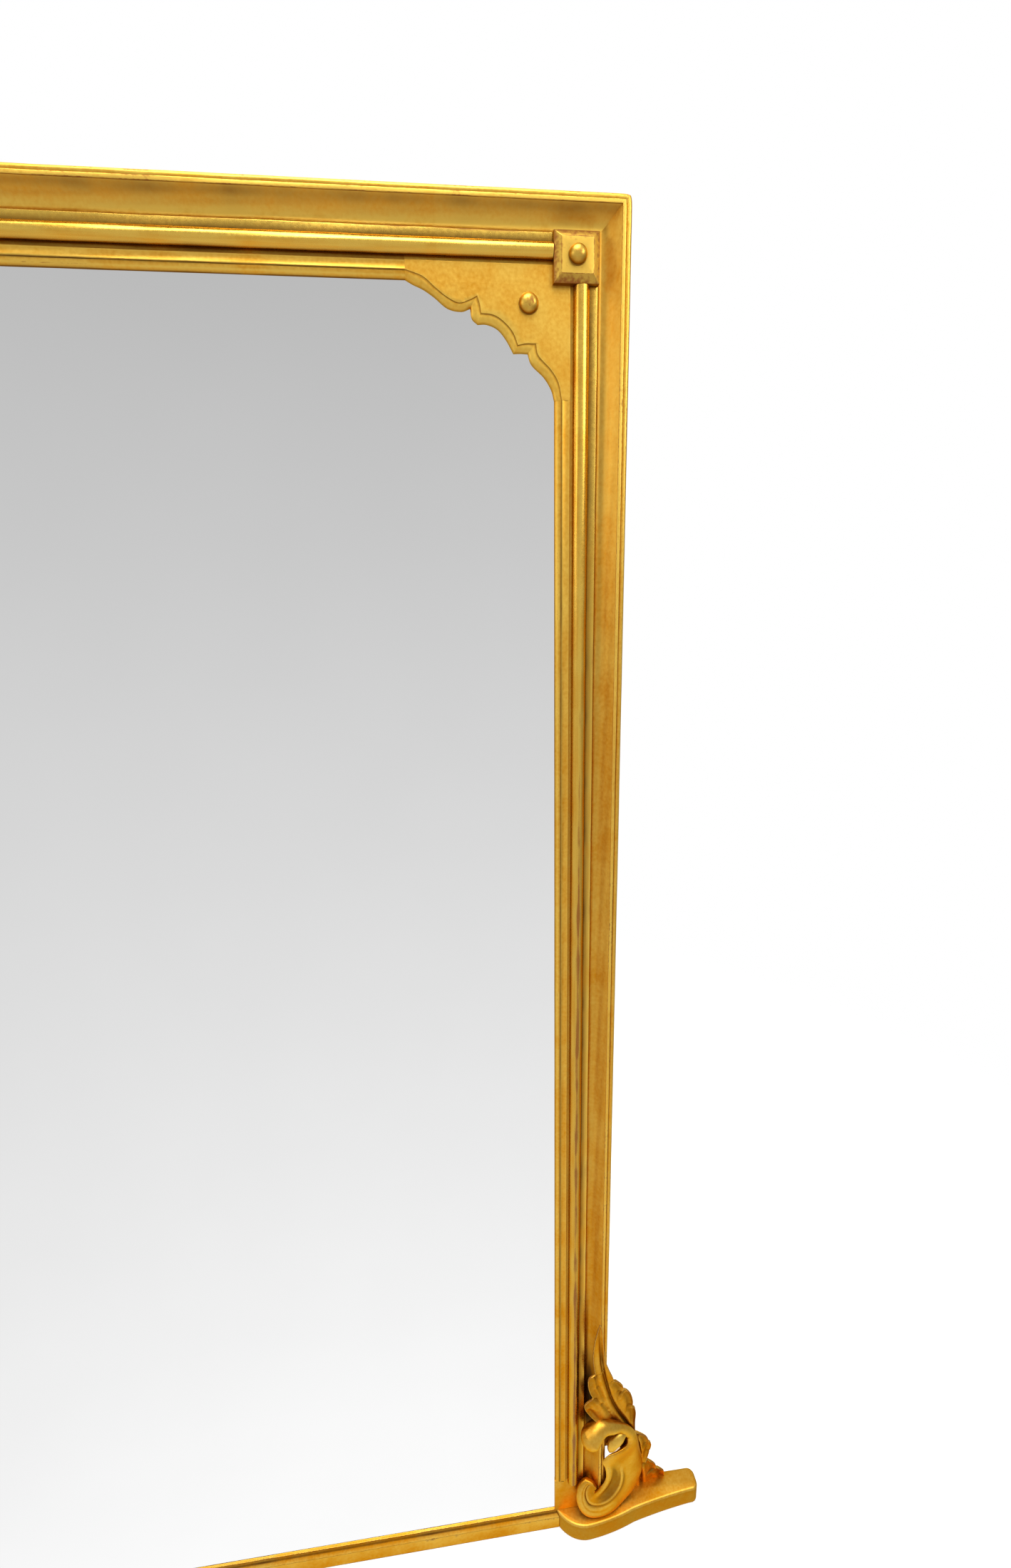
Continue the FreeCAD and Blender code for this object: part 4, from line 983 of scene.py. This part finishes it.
def roll(path, rows):
    """Carved roll: an oval ring carried along a smooth path of (out, level, up, half width, half depth).
    The ring stands square to the path, its width across the bracket and its depth towards the viewer, and
    each end closes in a half dome."""
    p = smooth(path, rows)
    middle = np.stack([HALF + p[:, 0], level_y(p[:, 1]), FOOT_TOP + p[:, 2]], 1)
    along = np.gradient(middle, axis=0)
    along = along / np.linalg.norm(along, axis=1, keepdims=True)
    side = np.cross(along, [0.0, -1.0, 0.0])
    side = side / np.linalg.norm(side, axis=1, keepdims=True)
    depth = np.cross(side, along)
    lift = np.radians(np.linspace(0, 89, 10))
    pick = np.concatenate([np.zeros(9, int), np.arange(rows), np.full(9, rows - 1)])
    push = np.concatenate([-np.sin(lift[:0:-1]), np.zeros(rows), np.sin(lift[1:])])
    shrink = np.concatenate([np.cos(lift[:0:-1]), np.ones(rows), np.cos(lift[1:])])
    size = p[pick, 3:] * shrink[:, None]
    middle = middle[pick] + (push * p[pick, 3:].min(1))[:, None] * along[pick]
    turn = np.linspace(0, 2 * np.pi, 72, endpoint=False)[None, :, None]
    points = (middle[:, None] + size[:, None, :1] * np.cos(turn) * side[pick][:, None]
              + size[:, None, 1:] * np.sin(turn) * depth[pick][:, None])
    return patch(points, rub_and_highlight=0.4)


# Scroll's band as rungs: outer end and inner end, each (out, level, up), and how far front and back bow
SCROLL_RUNGS = (
    ((-31.5, 40.6, 176.1), (-13.5, 52, 153.9), (15.4, 15.4, 0)),
    ((-23, 39.6, 182), (-9, 49.5, 160), (13.6, 13, 0)),
    ((-11, 38, 186.5), (-3, 46.5, 164.5), (11, 8, 0)), ((2, 36, 180), (7, 45.5, 162), (10, 6, 0)),
    ((15, 32.5, 167), (16.5, 44, 159), (9.5, 5, 0)), ((28, 28.5, 151), (24.5, 42, 152), (9.5, 5, 0)),
    ((39, 25, 134), (30, 40, 144), (9, 5, 0)), ((47, 22.5, 117), (32.5, 38, 136), (8, 5, 0)),
    ((53, 20.5, 100), (30.5, 38.5, 126), (7, 5, 0)), ((57.5, 20.5, 82), (17, 41, 121), (6.3, 5, 0)),
    ((60, 21, 66), (3, 43, 119), (6, 5, 0)), ((60.5, 21.5, 50), (-6, 44, 111), (6, 5, 0)),
    ((57, 21.5, 34), (-2, 43.5, 97), (6, 5, 0)), ((48, 23.5, 16), (0, 43, 83), (6, 5, 0)),
    ((32, 28.5, 4.5), (-1, 42.5, 72), (6, 5, 0)), ((12, 37.5, 1.5), (-6, 42.5, 63), (6, 5, 0)),
    ((-7, 41, 1.2), (-11.5, 42, 56), (6, 5, 0)), ((-24, 40.5, 4), (-14.5, 41, 52), (5, 5, 0)),
    ((-36, 38, 16), (-15, 40.5, 51), (5, 5, 0)), ((-41.5, 35, 36), (-15, 38.5, 51), (5, 5, 0)),
    ((-38, 32, 54), (-15, 38, 51), (5, 5, 0)), ((-28, 30.5, 64), (-15, 38, 51.5), (5, 5, 0)),
    ((-17, 34, 62), (-14, 38, 52), (4, 4, 0)), ((-12, 37.5, 56), (-13.5, 38.5, 53), (3, 3, 0)),
)
BALL_AXIS = (0.80, -0.15, 0.58)
SCROLL_CURL = [(29.0, 37.0, 150.0, 3.0, 3.0), (20.0, 40.5, 148.0, 8.0, 6.0), (11.5, 42.0, 141.0, 8.5, 6.5),
               (7.0, 41.5, 131.0, 6.0, 5.0), (5.5, 40.5, 123.0, 1.5, 1.5)]


def ball_rungs(equator):
    """Rungs of the ball that ends the band: chords of a sphere, each shorter than the next, back along its
    axis from the equator's rung."""
    outer, inner, bow = np.array(equator, float)
    radius = bow[0]
    axis = np.array(BALL_AXIS) / np.linalg.norm(BALL_AXIS)
    lift = np.radians([87.0, 75.0, 60.0, 45.0, 30.0, 15.0])[:, None]
    middle = (outer + inner) / 2 - radius * np.sin(lift) * axis
    half = (inner - outer) / 2 * np.cos(lift)
    return np.stack([middle - half, middle + half, bow * np.cos(lift)], 1)


def ease(value, start, end):
    """Smooth step from none to all between two values."""
    s = np.clip((value - start) / (end - start), 0, 1)
    return s * s * (3 - 2 * s)


def scroll_height(along, across, bow):
    """How far the scroll's band stands out from the straight line between its edges: an oval bow, on the body
    a hollow with one sharp ridge beside it, and in the volute a rounded rim about a flat face."""
    flute = bpy.context.scene.overmantel_carving.flute / MM
    hump = np.sqrt(np.clip(1 - (2 * across - 1) ** 2, 0, 1))
    scoop = -0.4 * flute * bell(across - 0.72, 0.22) * ease(along, 7.0, 9.5)
    crest = 0.75 * np.exp(-np.abs(across - 0.58) / 0.05) - 0.9 * bell(across - 0.77, 0.12)
    rim = 4.5 * np.sqrt(np.clip(1 - ((across - 0.24) / 0.24) ** 2, 0, 1)) + 2.5 * ease(across, 0.3, 0.6)
    to_rim = ease(along, 14.0, 17.5)
    return (bow * hump + scoop + flute * crest * ease(along, 10.3, 13.8)) * (1 - to_rim) + rim * to_rim


def ribbon(rungs, rows=300, columns=72):
    """Carved band between two edges: smooth curves through the rungs' ends, straight lines between them, and
    a front that stands out square to them. The back bows the other way, and both meet at the edges."""
    ball = ball_rungs(rungs[0])
    r = smooth(np.concatenate([ball, np.array(rungs, float)]), rows)
    along = np.linspace(-len(ball), len(rungs) - 1, rows)[:, None]
    across = (0.5 - 0.5 * np.cos(np.pi * np.linspace(0, 1, columns)))[None]
    chord = r[:, None, 0] + across[..., None] * (r[:, None, 1] - r[:, None, 0])
    height = scroll_height(along, across, r[:, 2, :1])
    square = np.cross(r[:, 1] - r[:, 0], np.gradient((r[:, 0] + r[:, 1]) / 2, axis=0))
    square = square / np.linalg.norm(square, axis=1, keepdims=True)
    square = square * np.sign(square @ [0.0, 1.0, 0.5])[:, None]
    hump = np.sqrt(np.clip(1 - (2 * across - 1) ** 2, 0, 1))
    front = chord + height[..., None] * square[:, None]
    behind = chord - (r[:, 2, 1:2] * hump)[..., None] * square[:, None]
    loop = np.concatenate([front, behind[:, -2:0:-1]], 1)
    floor = np.where(loop[..., 0] < 0, stile_level(loop[..., 0]) + 0.3, 0.3)
    points = np.stack([HALF + loop[..., 0], level_y(np.maximum(loop[..., 1], floor)),
                       FOOT_TOP + np.maximum(loop[..., 2], 0.1)], -1)
    bend = np.gradient(np.gradient(height, axis=1), axis=1) * columns
    rest = np.zeros((rows, columns - 2))
    # Convex crests are rubbed, their paler part a painted highlight; concave flutes get painted shade.
    return patch(points, rub_and_highlight=np.concatenate([np.clip(-bend / 4, 0, 0.5), rest], 1),
                 hollow=np.concatenate([np.clip(bend / 5, 0, 0.8), rest], 1))


class OVERMANTEL_OT_brackets(bpy.types.Operator):
    """Carved acanthus leaves and scrolls that stand on the feet"""

    bl_idname = "overmantel.brackets"
    bl_label = "Carved Brackets"

    def execute(self, context):
        scroll = [ribbon(SCROLL_RUNGS), roll(SCROLL_CURL, 60)]
        make_pairs(
            ("carved_leaf", [leaf_grid()], matt_gold(), "matte_gilding", "acanthus_leaf", LEAF_SHARP),
            ("carved_scroll", scroll, bright_gold(), "burnished_gilding", "scroll", SCROLL_SHARP))
        return {"FINISHED"}


def paint(node, material):
    """Gives a solid its finish in place of the plain one."""
    mesh = frame["nodes"][node].data
    mesh.materials.clear()
    mesh.materials.append(material)


class OVERMANTEL_OT_plate(bpy.types.Operator):
    """Silvering of the mirror plate"""

    bl_idname = "overmantel.plate"
    bl_label = "Mirror Plate"

    def execute(self, context):
        paint("mirror_plate", silvered_plate())
        return {"FINISHED"}


class OVERMANTEL_OT_back(bpy.types.Operator):
    """Finishes of the boards, pins, screws and hangers behind"""

    bl_idname = "overmantel.back"
    bl_label = "Back"

    def execute(self, context):
        b = context.scene.overmantel_back
        pine = bare_pine()
        steel = dulled_metal("dulled steel", b.steel, b.steel_dark, 0.42)
        brass = dulled_metal("rolled brass", b.brass, b.brass_dark, 0.34)
        by_slot = {"pine_board": pine, "beech_pin": pine, "steel_screw": steel, "brass_hanger": brass}
        for entry in frame["record"]["subparts"]:
            if entry["material_slot"] in by_slot:
                paint(entry["node"], by_slot[entry["material_slot"]])
        return {"FINISHED"}


# Studio light as (share of the way from straight down to straight up, strength)
SKY_STOPS = (
    (0.05, 1.12), (0.09, 1.05), (0.128, 0.98), (0.18, 0.91), (0.25, 0.843), (0.335, 0.78), (0.435, 0.719),
    (0.53, 0.661), (0.615, 0.606), (0.685, 0.554), (0.72, 0.545),
)
# Lamps as (name, place, aim, side in metres, share of the lamp power)
LAMPS = (
    ("front lamp", (0.35, -1.8, 3.75), (0.4, 0.0, 1.3), 1.2, 0.45),
    ("upper lamp", (0.2, -0.7, 3.4), (0.4, 0.0, 0.6), 1.4, 1.0),
    ("right lamp", (1.5, -0.9, 2.0), (0.65, 0.0, 0.2), 0.8, 0.25),
    ("side lamp", (-2.0, -0.9, 2.1), (0.5, 0.0, 1.4), 1.2, 0.25),
)
WHITE = (1.0, 1.0, 1.0, 1.0)
# The photograph: size, focal length and middle of view in pixels
PHOTO_WIDE, PHOTO_TALL = 1418, 2200
PHOTO_FOCAL = 969.0
PHOTO_MIDDLE = (697, 1089)
# Camera: in from the frame's right edge, out from the glass and down from the top, in millimetres
CAMERA_IN, CAMERA_OUT, CAMERA_DOWN = 219.0, 722.9, 366.7


class OVERMANTEL_OT_stage(bpy.types.Operator):
    """Pale floor, soft light and the camera"""

    bl_idname = "overmantel.stage"
    bl_label = "Stage"

    def execute(self, context):
        self.light_world(context)
        self.lay_floor(context)
        self.hang_lamps(context)
        self.set_camera(context)
        context.scene.view_settings.view_transform = "Standard"
        return {"FINISHED"}

    def light_world(self, context):
        """Light that varies from below to above and is weaker from the right; plain white where the camera
        looks straight at it."""
        world = bpy.data.worlds.new("soft studio")
        world.use_nodes = True
        context.scene.world = world
        tree = world.node_tree
        tree.nodes.clear()
        way = add(tree, "SeparateXYZ", [add(tree, "TexCoord").outputs["Generated"]])
        ramp = add(tree, "ValToRGB", {"Fac": add(tree, "MapRange", [way.outputs["Z"], -1.0])})
        stops = (*SKY_STOPS, (0.9, context.scene.overmantel_stage.sky))
        while len(ramp.color_ramp.elements) < len(stops):
            ramp.color_ramp.elements.new(0.5)
        for stop, (share, value) in zip(ramp.color_ramp.elements, stops):
            stop.position = share
            stop.color = (value, value, value, 1.0)
        shade = add(tree, "MapRange", [way.outputs["X"], 0.3, 0.8, 1.0, 0.62])
        lit = add(tree, "Math", [ramp, shade], operation="MULTIPLY")
        seen = add(tree, "LightPath").outputs["Is Camera Ray"]
        strength = add(tree, "Mix", {"Factor": seen, "A": lit, "B": 1.0})
        sky = add(tree, "Background", {"Color": WHITE, "Strength": strength})
        add(tree, "OutputWorld", {"Surface": sky})

    def lay_floor(self, context):
        """White floor that fades out all round between near and far, so that no edge shows."""
        mesh = bpy.data.meshes.new("floor")
        reach, z = 3.0, -0.5 * MM
        corners = [(-reach, -reach, z), (reach, -reach, z), (reach, reach, z), (-reach, reach, z)]
        mesh.from_pydata(corners, [], [(0, 1, 2, 3)])
        floor = bpy.data.objects.new("floor", mesh)
        context.scene.collection.objects.link(floor)
        floor.visible_glossy = False
        material, tree, shader = new_material("white paper floor")
        wire(shader, {"Base Color": linear("F4F4F4"), "Roughness": 0.9})
        away = add(tree, "VectorMath", [add(tree, "TexCoord").outputs["Object"]], operation="LENGTH")
        near, far = 0.9, 2.2
        fade = add(tree, "MapRange", [away, near, far], interpolation_type="SMOOTHSTEP")
        seen = add(tree, "LightPath").outputs["Is Camera Ray"]
        glow = add(tree, "Emission", {"Color": WHITE, "Strength": 0.35})
        lit = add(tree, "AddShader", [shader, glow])
        lit = add(tree, "MixShader", [seen, shader, lit])
        mixed = add(tree, "MixShader", [fade, lit, add(tree, "BsdfTransparent")])
        wire(tree.nodes["Material Output"], {"Surface": mixed})
        mesh.materials.append(material)

    def hang_lamps(self, context):
        """Broad soft lamps high in front and above, and weak ones from the right and the left."""
        for name, at, aim, size, share in LAMPS:
            light = bpy.data.lights.new(name, "AREA")
            light.size = size
            light.energy = share * context.scene.overmantel_stage.lamp
            lamp = bpy.data.objects.new(name, light)
            lamp.location = at
            way = np.array(aim) - np.array(at)
            lamp.rotation_euler = (math.acos(-way[2] / np.linalg.norm(way)), 0,
                                   math.atan2(way[1], way[0]) - math.pi / 2)
            context.scene.collection.objects.link(lamp)

    def set_camera(self, context):
        """Camera at the photograph's place: above the middle of the glass, close, looking down and right."""
        data = bpy.data.cameras.new("camera")
        data.sensor_width = 36.0
        data.lens = PHOTO_FOCAL / PHOTO_TALL * data.sensor_width
        data.shift_x = (PHOTO_WIDE / 2 - PHOTO_MIDDLE[0]) / PHOTO_TALL
        data.shift_y = (PHOTO_MIDDLE[1] - PHOTO_TALL / 2) / PHOTO_TALL
        data.clip_start = 0.01
        camera = bpy.data.objects.new("camera", data)
        right = (0.99228, -0.12245, -0.01977)
        down = (-0.04741, -0.22717, -0.97270)
        ahead = (0.11461, 0.96613, -0.23122)
        turn = Matrix((right, [-v for v in down], [-v for v in ahead])).transposed().to_4x4()
        turn.translation = ((HALF - CAMERA_IN) * MM, (level_y(GLASS_LEVEL) - CAMERA_OUT) * MM,
                            (TOP - CAMERA_DOWN) * MM)
        camera.matrix_world = turn
        context.scene.collection.objects.link(camera)
        context.scene.camera = camera


class OVERMANTEL_PT_panel(bpy.types.Panel):
    """Lists the mirror's settings and operators"""

    bl_idname = "OVERMANTEL_PT_panel"
    bl_label = "Overmantel Mirror"
    bl_space_type = "VIEW_3D"
    bl_region_type = "UI"
    bl_category = "Overmantel"

    def draw(self, context):
        scene = context.scene
        for settings in (scene.overmantel_gilding, scene.overmantel_carving, scene.overmantel_back,
                         scene.overmantel_stage):
            box = self.layout.box()
            for name in settings.__annotations__:
                box.prop(settings, name)
        for operator in OPERATORS:
            self.layout.operator(operator.bl_idname)


SETTINGS = (
    ("overmantel_gilding", GildingSettings), ("overmantel_carving", CarvingSettings),
    ("overmantel_back", BackSettings), ("overmantel_stage", StageSettings),
)
OPERATORS = (
    OVERMANTEL_OT_mouldings, OVERMANTEL_OT_reeds, OVERMANTEL_OT_slips, OVERMANTEL_OT_corners,
    OVERMANTEL_OT_feet, OVERMANTEL_OT_brackets, OVERMANTEL_OT_plate, OVERMANTEL_OT_back, OVERMANTEL_OT_stage,
)


def register():
    """Registers the settings, the operators and the panel."""
    for name, group in SETTINGS:
        bpy.utils.register_class(group)
        setattr(bpy.types.Scene, name, bpy.props.PointerProperty(type=group))
    for part in (*OPERATORS, OVERMANTEL_PT_panel):
        bpy.utils.register_class(part)


def unregister():
    """Takes them out again."""
    for part in (OVERMANTEL_PT_panel, *OPERATORS):
        bpy.utils.unregister_class(part)
    for name, group in SETTINGS:
        delattr(bpy.types.Scene, name)
        bpy.utils.unregister_class(group)


def main():
    """Makes every piece."""
    register()
    bpy.ops.overmantel.mouldings()
    bpy.ops.overmantel.reeds()
    bpy.ops.overmantel.slips()
    bpy.ops.overmantel.corners()
    bpy.ops.overmantel.feet()
    bpy.ops.overmantel.brackets()
    bpy.ops.overmantel.plate()
    bpy.ops.overmantel.back()
    bpy.ops.overmantel.stage()


if __name__ == "__main__":
    main()
